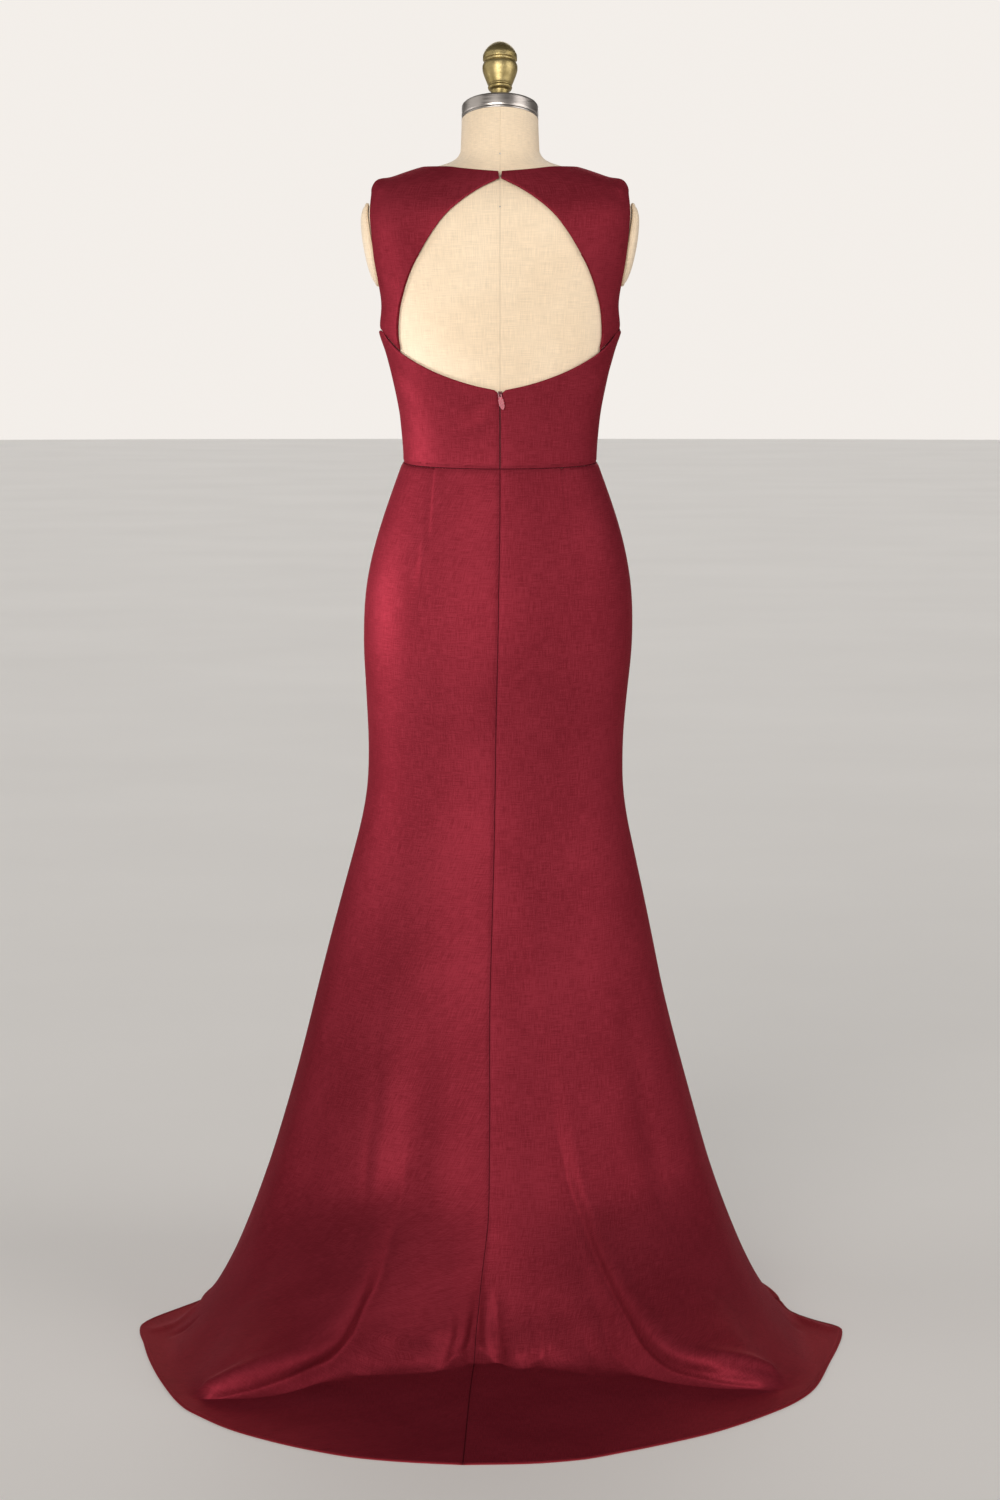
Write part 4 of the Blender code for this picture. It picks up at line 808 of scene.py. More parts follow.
FRONT_FOLDS = SHOULDER_TIPS + (
    (DART_HALF, DART_DEEP, ((148, 1.052), (149, 1.12), (150.5, 1.192))),
    (DART_HALF, DART_DEEP, ((-148, 1.052), (-149, 1.12), (-150.5, 1.192))),
    (DART_HALF, DART_DEEP, ((91, 1.172), (108, 1.188), (126, 1.21))),
    (DART_HALF, DART_DEEP, ((-91, 1.172), (-108, 1.188), (-126, 1.21))),
    ((0.01, 0.012, 0.01), (-0.0002, -0.0009, -0.0002), ((104, 1.29), (118, 1.262), (132, 1.256))),
    ((0.01, 0.012, 0.01), (-0.0002, -0.0007, -0.0002), ((-103, 1.3), (-116, 1.276), (-128, 1.272))),
    ((0.012, 0.014, 0.012), (0.0002, 0.0008, 0.0002), ((96, 1.14), (116, 1.122), (138, 1.124))),
    ((0.012, 0.014, 0.012), (0.0002, 0.0009, 0.0003), ((-95, 1.128), (-112, 1.106), (-134, 1.104))),
    ((0.009, 0.01, 0.012), (-0.0002, -0.0008, -0.0002), ((98, 1.098), (118, 1.084), (136, 1.078))),
    ((0.009, 0.01, 0.012), (-0.0002, -0.0007, -0.0002), ((-97, 1.088), (-120, 1.072), (-140, 1.07))),
    ((0.01, 0.01, 0.012), (-0.0002, -0.0007, -0.0001), ((168, 1.345), (160, 1.31), (158, 1.275))),
    ((0.01, 0.01, 0.012), (-0.0002, -0.0006, -0.0001), ((-170, 1.344), (-163, 1.3), (-164, 1.262))),
)
# Upper back pieces: the armhole and shoulder on one side, the keyhole and the hook on the other.
arm_share, hook_share = 11 / 15, 14 / 15
u = crowded(56, 0.035)
v = joined(((0, arm_share, 90), (arm_share, hook_share, 18), (hook_share, 1, 10)), 0.23)
outer_edge = outer_edge_of(ARMHOLE_BACK, v, 0.0, arm_share)
key_x, key_height = np.array(KEYHOLE_EDGE).T
keyhole = np.stack([np.degrees(np.arcsin(key_x / section(form_table, key_height)[0])), key_height], -1)
neckline = evenly(NECKLINE_BACK, u)
to_neck = stretch(v, hook_share)[:, None]
inner_edge = evenly(keyhole, stretch(v, 0.0, hook_share)) * (1 - to_neck) + neckline[-1] * to_neck
foot = evenly(YOKE_FOOT, u)
foot[-1] = inner_edge[0]
yoke_grid = coons(foot, neckline, outer_edge, inner_edge, u, v)
for side, word in ((1, "right"), (-1, "left")):
    made = bodice_piece("upper_back_" + word, yoke_grid[:, ::-1], ["first row"],
                        ["last row", "first column", "last column"], YOKE_FOLDS, side)
    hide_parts("back_yoke_" + word)

# Lower back pieces, from the waist seam up to the foot of the keyhole.
u = crowded(80, 0.18)
v = joined(((0, NOTCH_FOOT, 62), (NOTCH_FOOT, 1, 5)), 0.13)
top = evenly(TOP_OF_BACK, u)
foot_turn = 90 - (90 - ZIP_SPLIT) * u
foot = np.stack([foot_turn, waist_line(foot_turn)], -1)
side_seam = np.stack([np.full(len(v), 90.0), foot[0, 1] + (top[0, 1] - foot[0, 1]) * v], -1)
opening = np.stack([ZIP_SPLIT + (top[-1, 0] - ZIP_SPLIT) * stretch(v, NOTCH_FOOT),
                    foot[-1, 1] + (top[-1, 1] - foot[-1, 1]) * v], -1)
lower_grid = coons(foot, top, side_seam, opening, u, v)
for side, word, folds in ((1, "right", BACK_FOLDS_RIGHT), (-1, "left", BACK_FOLDS_LEFT)):
    made = bodice_piece("lower_back_" + word, lower_grid[:, ::-1],
                        ["first row", "first column", "last column"], ["last row"], folds, side)
    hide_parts("back_bodice_" + word)

# The front, in one piece from side seam to side seam.
low, arm_end = 5 / 18, 14 / 18
u = crowded(62, 0.20, (True, False))
v = joined(((0, low, 44), (low, arm_end, 70), (arm_end, 1, 18)), 0.36)
side_seam = np.stack([np.full(len(v), 90.0), WAIST + (UNDERARM[1] - WAIST) * v / low], -1)
side_edge = np.where((v <= low)[:, None], side_seam, outer_edge_of(ARMHOLE_FRONT, v, low, arm_end))
foot = np.stack([90 + 90 * u, np.full(len(u), WAIST)], -1)
neckline = evenly(NECKLINE_FRONT, u)
middle = np.stack([np.full(len(v), 180.0), WAIST + (neckline[-1, 1] - WAIST) * v], -1)
front_half = coons(foot, neckline, side_edge, middle, u, v)
other_half = front_half[:, -2::-1] * (-1, 1) + (360, 0)
made = bodice_piece("bodice_front_panel", np.concatenate([front_half, other_half], axis=1),
                    ["first row", "first column", "last column"], ["last row"], FRONT_FOLDS)
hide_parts("bodice_front")

# The skirt. Three gores of crepe, a front and two backs, close on the hip and thigh and flared from
# the knee. The backs run on into a sweep train, and the hem is turned up once and topstitched.
SKIRT_SECTIONS = (
    # height, half width, front, back, side, roundness, drift of its middle along x
    (1.052, 0.1183, 0.0853, -0.0883, 0.0, 0.9, 0.0),
    (1.02, 0.13, 0.0905, -0.0965, -0.002, 0.9, 0.0),
    (0.98, 0.1438, 0.0965, -0.1045, -0.004, 0.9, 0.0),
    (0.93, 0.1575, 0.1025, -0.1155, -0.005, 0.9, -0.001),
    (0.88, 0.1646, 0.1058, -0.1246, -0.006, 0.9, -0.0018),
    (0.83, 0.1656, 0.108, -0.1282, -0.006, 0.9, -0.0025),
    (0.78, 0.1617, 0.109, -0.1262, -0.006, 0.92, -0.0037),
    (0.73, 0.1582, 0.109, -0.1222, -0.006, 0.95, -0.005),
    (0.68, 0.156, 0.109, -0.1192, -0.006, 0.98, -0.0055),
    (0.63, 0.1598, 0.111, -0.1212, -0.006, 1.02, -0.0063),
    (0.58, 0.1706, 0.116, -0.1285, -0.007, 1.06, -0.0072),
    (0.48, 0.195, 0.133, -0.153, -0.009, 1.1, -0.01),
    (0.38, 0.218, 0.154, -0.182, -0.012, 1.12, -0.0126),
    (0.28, 0.244, 0.179, -0.217, -0.015, 1.08, -0.0122),
    (0.17, 0.2762, 0.208, -0.26, -0.018, 1.0, -0.0133),
    (0.065, 0.312, 0.24, -0.312, -0.03, 1.0, -0.014),
    (0.0, 0.335, 0.265, -0.355, -0.045, 1.0, -0.0146),
)
ROW_HEIGHTS = (1.02, 0.99, 0.96, 0.925, 0.89, 0.855, 0.82, 0.78, 0.74, 0.7, 0.66, 0.615,
               0.57, 0.52, 0.46, 0.4, 0.34, 0.285, 0.23)
LOWEST_RING = 0.170
FRONT_HEIGHTS = 0.12, 0.075, 0.036, 0.0
SIDE_BLEND = 0.45       # share of the way from the centre front where the front turns into the train
TRAIN_LEFT = (
    # share, low x, y, z, crest x, y, z, foot x, y, hem x, y
    (0.00, -0.022, -0.288, 0.090, -0.028, -0.316, 0.030, -0.031, -0.345, -0.040, -0.720),
    (0.08, -0.066, -0.306, 0.090, -0.072, -0.344, 0.036, -0.076, -0.374, -0.099, -0.711),
    (0.16, -0.108, -0.306, 0.090, -0.116, -0.344, 0.036, -0.120, -0.376, -0.156, -0.695),
    (0.24, -0.144, -0.308, 0.092, -0.158, -0.350, 0.046, -0.166, -0.396, -0.208, -0.667),
    (0.32, -0.178, -0.338, 0.084, -0.197, -0.391, 0.042, -0.203, -0.410, -0.254, -0.634),
    (0.40, -0.214, -0.352, 0.078, -0.243, -0.446, 0.032, -0.249, -0.462, -0.301, -0.591),
    (0.47, -0.240, -0.342, 0.075, -0.298, -0.472, 0.024, -0.304, -0.486, -0.336, -0.545),
    (0.53, -0.262, -0.322, 0.074, -0.330, -0.470, 0.013, -0.340, -0.486, -0.358, -0.510),
    (0.65, -0.298, -0.240, 0.072, -0.352, -0.370, 0.012, -0.378, -0.408, -0.388, -0.424),
    (0.80, -0.322, -0.140, 0.068, -0.374, -0.250, 0.012, -0.400, -0.300, -0.415, -0.319),
    (0.88, -0.330, -0.085, 0.066, -0.374, -0.165, 0.013, -0.405, -0.215, -0.429, -0.245),
    (0.941, -0.331, -0.048, 0.065, -0.368, -0.095, 0.014, -0.396, -0.130, -0.440, -0.172),
    (1.00, -0.330, -0.018, 0.065, -0.355, -0.032, 0.018, -0.364, -0.039, -0.376, -0.051),
)
TRAIN_RIGHT = (
    # share, low x, y, z, crest x, y, z, foot x, y, hem x, y
    (0.00, -0.022, -0.288, 0.090, -0.028, -0.316, 0.030, -0.031, -0.345, -0.040, -0.720),
    (0.08, 0.024, -0.300, 0.090, 0.022, -0.334, 0.034, 0.022, -0.366, 0.022, -0.717),
    (0.16, 0.064, -0.298, 0.090, 0.068, -0.332, 0.036, 0.070, -0.364, 0.082, -0.704),
    (0.24, 0.102, -0.296, 0.092, 0.112, -0.334, 0.046, 0.120, -0.376, 0.137, -0.674),
    (0.32, 0.134, -0.322, 0.086, 0.150, -0.364, 0.044, 0.156, -0.383, 0.192, -0.638),
    (0.40, 0.168, -0.332, 0.080, 0.194, -0.404, 0.036, 0.201, -0.421, 0.239, -0.602),
    (0.50, 0.212, -0.320, 0.076, 0.256, -0.430, 0.028, 0.265, -0.446, 0.293, -0.546),
    (0.60, 0.246, -0.288, 0.074, 0.302, -0.432, 0.018, 0.314, -0.449, 0.337, -0.488),
    (0.68, 0.266, -0.242, 0.072, 0.324, -0.392, 0.012, 0.348, -0.424, 0.362, -0.436),
    (0.80, 0.290, -0.158, 0.070, 0.346, -0.280, 0.012, 0.374, -0.318, 0.389, -0.330),
    (0.882, 0.300, -0.090, 0.066, 0.345, -0.160, 0.013, 0.374, -0.180, 0.417, -0.186),
    (0.941, 0.302, -0.050, 0.065, 0.338, -0.085, 0.014, 0.355, -0.110, 0.365, -0.126),
    (1.00, 0.303, -0.022, 0.065, 0.328, -0.034, 0.018, 0.341, -0.042, 0.352, -0.050),
)
LARGE_FOLDS = (
    # side, share at its top and foot, height of its top and foot, half width in share, depth
    (-1, 0.22, 0.26, 0.46, 0.09, 0.075, -0.011), (-1, 0.42, 0.44, 0.52, 0.12, 0.110, 0.006),
    (-1, 0.74, 0.72, 0.60, 0.12, 0.100, 0.006), (1, 0.17, 0.23, 0.48, 0.09, 0.070, -0.011),
    (1, 0.38, 0.42, 0.50, 0.12, 0.110, 0.006), (1, 0.76, 0.74, 0.60, 0.12, 0.100, 0.005),
)
HEM_DEEP, HEM_THICKER, HEM_STEP = 0.0060, 0.0006, 0.0004       # the turned hem and its inner edge
FOLDED_ROLL, FOLDED_WIDE = 0.0009, 0.0012       # how the hem's folded edge rolls in
STITCH_IN, STITCH_DEEP, STITCH_HALF, STITCH_PITCH, STITCH_SHARE = 0.001, 0.0005, 0.0006, 0.0034, 0.72
SKIRT_SEAMS = ("last row", "first column", "last column")
BLUR_DOWN, BLUR_ROUND, LAP = 3.0, 2.2, 12       # blur in rows, in columns, and columns that lap round
STEEPEST, CLOTH_SHIFT = -0.3, 0.3       # how far its outside may face down; the weave's shift in a turn
skirt_table = softened(SKIRT_SECTIONS, 0.014)


def ring_point(turn, height):
    """The skirt's wrong side at a turn and a height, a sine across and a power of the cosine front
    to back, with its middle drifting along x."""
    turn, height = np.broadcast_arrays(np.radians(turn), np.asarray(height, float))
    half, front, back, side, roundness, drift = section(skirt_table, height)
    bow = np.abs(np.cos(turn))
    ahead = side + (front - side) * bow ** np.minimum(roundness, 1)
    y = np.where(np.cos(turn) >= 0, side - (side - back) * bow**roundness, ahead)
    return np.stack([drift + half * np.sin(turn), y, height], -1)


def fold_reach(side, share, height):
    """How far the largest folds push the back out: depth * s^2 (3 - 2 s) * exp(-(d / half width)^2),
    where s runs from 0 at the fold's top to 1 at its foot and d is the distance in share."""
    reach = np.zeros(np.broadcast(share, height).shape)
    for fold_side, top_share, foot_share, top, foot, half_width, depth in LARGE_FOLDS:
        if fold_side == side:
            down = stretch(height, top, foot)
            centre = top_share + (foot_share - top_share) * down
            swell = down * down * (3 - 2 * down) * np.clip(height / foot, 0, 1)
            reach = reach + depth * swell * np.exp(-((share - centre) / half_width) ** 2)
    return reach


def upper_points(turn, height):
    """The skirt above the train, with the largest folds of its back pushed out level."""
    points = ring_point(turn, height)
    away = unit(points - np.stack([0 * height, section(skirt_table, height)[3], height], -1))
    share = np.clip(np.abs(turn) / 90, 0, 1)
    reach = np.where(turn < 0, fold_reach(-1, share, height), fold_reach(1, share, height))
    return points + away * np.where(np.abs(turn) <= 90, reach, 0)[..., None]


ROWS_IN_SPAN = (7,) * 11 + (9,) * 5 + (12, 12, 12, 14) + (24, 26, 20, 56)
HEM_ROWS, HEM_FADE = ROWS_IN_SPAN[-1] + 1, 30   # rows nearest the hem; the blur fades out over the first 30
NEAR_HEM = (0.001, 0.003, 0.006, 0.010, 0.0145, 0.017, 0.026, 0.034)


def down_lines(turn, lower):
    """A grid of points down the skirt, one column for each turn, through the waist, the rings and the
    lower points. Each column is a curve in pieces, cubic in its chord length."""
    height = np.array([WAIST, *ROW_HEIGHTS, LOWEST_RING])[:, None] * np.ones(len(turn))
    height[0] = waist_line(turn)
    knots = np.concatenate([upper_points(turn[None] * np.ones(height.shape), height), np.array(lower)])
    chord = np.linalg.norm(np.diff(knots, axis=0), axis=-1, keepdims=True)
    slope = gentle_slopes(np.diff(knots, axis=0) / chord)
    spans = len(ROWS_IN_SPAN)
    span = np.append(np.repeat(np.arange(spans), ROWS_IN_SPAN), spans - 1)
    part = np.concatenate([np.linspace(0, 1, count, endpoint=False) for count in ROWS_IN_SPAN] + [[1.0]])
    part[-HEM_ROWS:] = np.union1d(np.linspace(0, 1, 49), 1 - np.array(NEAR_HEM))
    return cubic_pieces(knots, slope, span, part[:, None, None], chord[span])


def train_points(table, share):
    """Low, crest, foot and hem points for these shares, smooth across the rows of a table."""
    table = np.array(table)
    columns = smooth_through(table[:, 0], table[:, 1:], share)
    level = 0 * share
    return [columns[:, 0:3], columns[:, 3:6], np.stack([*columns[:, 6:8].T, level], -1),
            np.stack([*columns[:, 8:10].T, level], -1)]


back_share = crowded(128, 0.45)
front_turn = 90 + 180 * crowded(110, 0.80)
right_back = down_lines(90 * back_share, train_points(TRAIN_RIGHT, back_share))
left_back = down_lines(-90 * back_share[::-1], train_points(TRAIN_LEFT, back_share[::-1]))
front = down_lines(front_turn, [ring_point(front_turn, 0 * front_turn + z) for z in FRONT_HEIGHTS])
near = stretch(np.abs(180 - front_turn) / 90, SIDE_BLEND)
near = (near * near * (3 - 2 * near))[None, :, None]
to_left, to_right = left_back[:, :1] - front[:, -1:], right_back[:, -1:] - front[:, :1]
front = front + near * np.where((front_turn > 180)[None, :, None], to_left, to_right)
skirt = np.concatenate([right_back, front[:, 1:-1], left_back[:, :-1]], axis=1)
rows, columns = skirt.shape[:2]
hem_share = stretch(np.arange(rows), rows - HEM_ROWS, rows - HEM_ROWS + HEM_FADE)[:, None, None]
even = bell_blur(skirt, BLUR_DOWN)
ringed = np.concatenate([even[:, -LAP:], even, even[:, :LAP]], axis=1)
even = np.swapaxes(bell_blur(np.swapaxes(ringed, 0, 1), BLUR_ROUND), 0, 1)[:, LAP:-LAP]
even[0, :, 2] = skirt[0, :, 2]
skirt = even * (1 - hem_share) + skirt * hem_share


def ring_normals(points):
    """Unit normals of a surface whose last column meets its first."""
    across = np.roll(points, -1, 1) - np.roll(points, 1, 1)
    return unit(np.cross(across, -np.gradient(points, axis=0)))


# Each fold is a line of places with its half widths and its depths at start, middle and end.
SKIRT_FOLDS = (
    # the left dart, with the soft swell below its point
    ((0.0022, 0.0024, 0.0036), (-0.001, -0.0017, -0.0008),
     ((-0.08, -0.069, 1.045), (-0.085, -0.083, 0.994), (-0.088, -0.092, 0.954))),
    ((0.005, 0.007, 0.01), (0.0008, 0.0022, 0.0003),
     ((-0.09, -0.09, 0.959), (-0.0925, -0.097, 0.93), (-0.096, -0.104, 0.885))),
    ((0.006, 0.01, 0.014), (-0.0006, -0.0015, -0.0004),
     ((-0.084, -0.098, 0.945), (-0.089, -0.106, 0.89), (-0.097, -0.107, 0.84))),
    # the right dart
    ((0.0022, 0.0024, 0.0034), (-0.0012, -0.0016, -0.0006),
     ((0.075, -0.072, 1.045), (0.079, -0.086, 0.994), (0.081, -0.095, 0.954))),
    ((0.006, 0.008, 0.01), (-0.0003, -0.0007, -0.0002), ((0.081, -0.095, 0.954), (0.083, -0.104, 0.905))),
    # the faint second line at the left, dark on its left side and lit on its right
    ((0.008, 0.006, 0.008), (-0.0008, -0.0016, -0.001),
     ((-0.149, -0.148, 0.365), (-0.148, -0.172, 0.308), (-0.159, -0.203, 0.221), (-0.167, -0.249, 0.145),
      (-0.17, -0.297, 0.112), (-0.181, -0.356, 0.067), (-0.194, -0.383, 0.049))),
    ((0.016, 0.013, 0.012), (0.0006, 0.0022, 0.001),
     ((-0.137, -0.154, 0.365), (-0.137, -0.18, 0.299), (-0.144, -0.207, 0.221), (-0.153, -0.245, 0.151),
      (-0.158, -0.293, 0.114), (-0.168, -0.337, 0.076))),
    # the main fold at the left: its crease, the shadowed hollow along it and the lit roll above it,
    # which ends in a rounded tongue on the floor
    ((0.006, 0.006, 0.006), (-0.001, -0.0062, -0.004),
     ((-0.115, -0.215, 0.217), (-0.12, -0.229, 0.178), (-0.135, -0.279, 0.122), (-0.144, -0.309, 0.093),
      (-0.157, -0.332, 0.071), (-0.17, -0.354, 0.045), (-0.186, -0.376, 0.029), (-0.203, -0.396, 0.02),
      (-0.227, -0.424, 0.019), (-0.254, -0.451, 0.014), (-0.28, -0.47, 0.009), (-0.309, -0.481, 0.005),
      (-0.336, -0.486, 0.001)), (1.5, 0.7)),
    ((0.022, 0.018, 0.01), (-0.001, -0.0045, -0.001),
     ((-0.108, -0.24, 0.19), (-0.12, -0.275, 0.13), (-0.135, -0.32, 0.085), (-0.155, -0.35, 0.05),
      (-0.185, -0.39, 0.03), (-0.225, -0.435, 0.02), (-0.265, -0.465, 0.012))),
    ((0.018, 0.014, 0.013), (0.001, 0.0085, 0.0075),
     ((-0.133, -0.235, 0.18), (-0.151, -0.265, 0.134), (-0.159, -0.302, 0.107), (-0.172, -0.339, 0.078),
      (-0.184, -0.362, 0.058), (-0.2, -0.388, 0.04), (-0.228, -0.42, 0.032), (-0.264, -0.447, 0.028),
      (-0.299, -0.464, 0.022), (-0.326, -0.47, 0.012)), (0.6, 1.0)),
    # lit swells on both sides of the centre back seam, and the tuck where it meets the floor
    ((0.018, 0.016, 0.014), (0.0004, 0.0034, 0.004),
     ((-0.064, -0.262, 0.165), (-0.066, -0.29, 0.115), (-0.067, -0.316, 0.072), (-0.064, -0.336, 0.041))),
    ((0.018, 0.016, 0.014), (0.0004, 0.003, 0.0034),
     ((-0.12, -0.232, 0.173), (-0.128, -0.278, 0.122), (-0.131, -0.313, 0.083), (-0.135, -0.345, 0.04))),
    ((0.016, 0.014, 0.012), (-0.0004, -0.0022, -0.003),
     ((-0.098, -0.255, 0.16), (-0.1, -0.29, 0.11), (-0.1, -0.325, 0.06), (-0.098, -0.345, 0.036))),
    ((0.004, 0.01, 0.017), (-0.001, -0.0085, -0.013),
     ((-0.004, -0.296, 0.078), (-0.004, -0.318, 0.04), (-0.004, -0.352, 0.004))),
    ((0.009, 0.009, 0.008), (-0.0008, -0.008, -0.008),
     ((-0.026, -0.29, 0.085), (-0.028, -0.312, 0.045), (-0.03, -0.338, 0.018), (-0.032, -0.356, 0.006))),
    ((0.007, 0.007, 0.006), (-0.0006, -0.005, -0.002),
     ((-0.048, -0.318, 0.06), (-0.052, -0.335, 0.034), (-0.056, -0.352, 0.014))),
    ((0.009, 0.008, 0.007), (-0.0006, -0.004, -0.002),
     ((0.046, -0.318, 0.06), (0.047, -0.338, 0.03), (0.049, -0.358, 0.01))),
    # the lobes between the main folds, which bulge just above the floor, and the shadow below them
    ((0.015, 0.017, 0.014), (0.0016, 0.0036, 0.0016),
     ((-0.172, -0.352, 0.04), (-0.16, -0.368, 0.02), (-0.141, -0.368, 0.016), (-0.117, -0.364, 0.014),
      (-0.098, -0.361, 0.014), (-0.081, -0.356, 0.017), (-0.064, -0.338, 0.03), (-0.052, -0.322, 0.04),
      (-0.038, -0.3, 0.052)), (1.5, 0.7)),
    ((0.005, 0.006, 0.005), (-0.003, -0.0045, -0.003),
     ((-0.166, -0.389, 0.004), (-0.141, -0.388, 0.002), (-0.114, -0.386, 0.001), (-0.095, -0.382, 0.001),
      (-0.074, -0.374, 0.002), (-0.056, -0.35, 0.01), (-0.041, -0.327, 0.018))),
    ((0.013, 0.015, 0.015), (0.0016, 0.0034, 0.0016),
     ((-0.026, -0.296, 0.05), (-0.018, -0.306, 0.036), (-0.007, -0.326, 0.026), (0.002, -0.338, 0.018),
      (0.013, -0.345, 0.016), (0.027, -0.344, 0.017), (0.04, -0.334, 0.027), (0.047, -0.329, 0.031),
      (0.059, -0.337, 0.025), (0.073, -0.347, 0.016), (0.09, -0.357, 0.011), (0.112, -0.37, 0.008)),
     (1.5, 0.7)),
    ((0.005, 0.006, 0.006), (-0.003, -0.0045, -0.002),
     ((-0.02, -0.326, 0.014), (-0.004, -0.35, 0.005), (0.018, -0.367, 0.002), (0.034, -0.359, 0.005),
      (0.046, -0.348, 0.011), (0.058, -0.362, 0.004), (0.078, -0.375, 0.001), (0.105, -0.39, 0.0))),
    # the main fold at the right: its crease, its hollow and the lit roll outside it, with the short
    # groove that splits the roll before it ends
    ((0.005, 0.006, 0.006), (-0.0006, -0.0055, -0.0036),
     ((0.061, -0.203, 0.276), (0.072, -0.214, 0.235), (0.084, -0.227, 0.191), (0.098, -0.243, 0.157),
      (0.107, -0.264, 0.133), (0.121, -0.292, 0.108), (0.135, -0.324, 0.082), (0.152, -0.356, 0.055),
      (0.166, -0.378, 0.033), (0.182, -0.396, 0.02), (0.205, -0.415, 0.012), (0.232, -0.429, 0.009),
      (0.264, -0.441, 0.006), (0.294, -0.444, 0.004)), (0.7, 1.5)),
    ((0.02, 0.02, 0.012), (-0.0008, -0.0042, -0.0014),
     ((0.058, -0.215, 0.24), (0.078, -0.245, 0.165), (0.098, -0.285, 0.115), (0.125, -0.335, 0.068),
      (0.155, -0.375, 0.036), (0.19, -0.415, 0.018), (0.235, -0.44, 0.014))),
    ((0.014, 0.013, 0.013), (0.0006, 0.0078, 0.006),
     ((0.082, -0.2, 0.26), (0.089, -0.209, 0.244), (0.098, -0.224, 0.195), (0.114, -0.25, 0.15),
      (0.132, -0.298, 0.106), (0.158, -0.342, 0.073), (0.181, -0.38, 0.048), (0.2, -0.4, 0.034),
      (0.222, -0.411, 0.028), (0.252, -0.418, 0.027), (0.284, -0.418, 0.023), (0.308, -0.414, 0.016)),
     (1.0, 0.6)),
    ((0.004, 0.006, 0.006), (-0.0008, -0.0024, -0.0012),
     ((0.212, -0.419, 0.02), (0.235, -0.428, 0.018), (0.262, -0.432, 0.015), (0.284, -0.433, 0.012))),
    # a smaller crease beside it, running down to the floor
    ((0.006, 0.006, 0.005), (-0.0004, -0.003, -0.0016),
     ((0.113, -0.309, 0.083), (0.121, -0.335, 0.05), (0.13, -0.358, 0.022), (0.148, -0.376, 0.01))),
    ((0.005, 0.006, 0.005), (-0.0003, -0.0022, -0.0012),
     ((0.096, -0.335, 0.045), (0.106, -0.355, 0.018), (0.12, -0.376, 0.004))),
    # a long soft rise from the back of the knee towards the right fold
    ((0.016, 0.02, 0.016), (0.0002, 0.0024, 0.001),
     ((0.025, -0.132, 0.553), (0.04, -0.145, 0.48), (0.06, -0.165, 0.38), (0.084, -0.195, 0.28))),
    ((0.02, 0.02, 0.016), (-0.0002, -0.0016, -0.0012),
     ((0.06, -0.13, 0.54), (0.08, -0.15, 0.44), (0.105, -0.175, 0.33), (0.13, -0.215, 0.21))),
    # shallow ones between the folds and the side seams
    ((0.016, 0.02, 0.018), (-0.0002, -0.002, -0.0012),
     ((0.15, -0.11, 0.42), (0.18, -0.15, 0.28), (0.215, -0.2, 0.16), (0.25, -0.28, 0.08))),
    ((0.016, 0.022, 0.018), (-0.0002, -0.002, -0.001),
     ((-0.19, -0.09, 0.4), (-0.225, -0.13, 0.27), (-0.26, -0.19, 0.16), (-0.3, -0.28, 0.07))),
    # the tips of the train, where the side seams meet the floor
    ((0.008, 0.01, 0.008), (0.001, 0.004, 0.002),
     ((0.338, -0.07, 0.02), (0.364, -0.132, 0.006), (0.385, -0.165, 0.002), (0.402, -0.185, 0.001))),
    ((0.006, 0.007, 0.006), (-0.001, -0.003, -0.001),
     ((0.35, -0.17, 0.014), (0.372, -0.196, 0.004), (0.392, -0.206, 0.001))),
    ((0.008, 0.01, 0.008), (0.001, 0.0036, 0.0016),
     ((-0.352, -0.08, 0.02), (-0.38, -0.14, 0.006), (-0.402, -0.172, 0.002), (-0.42, -0.19, 0.001))),
    ((0.006, 0.007, 0.006), (-0.001, -0.0028, -0.001),
     ((-0.36, -0.2, 0.014), (-0.388, -0.214, 0.005), (-0.41, -0.222, 0.001))),
)
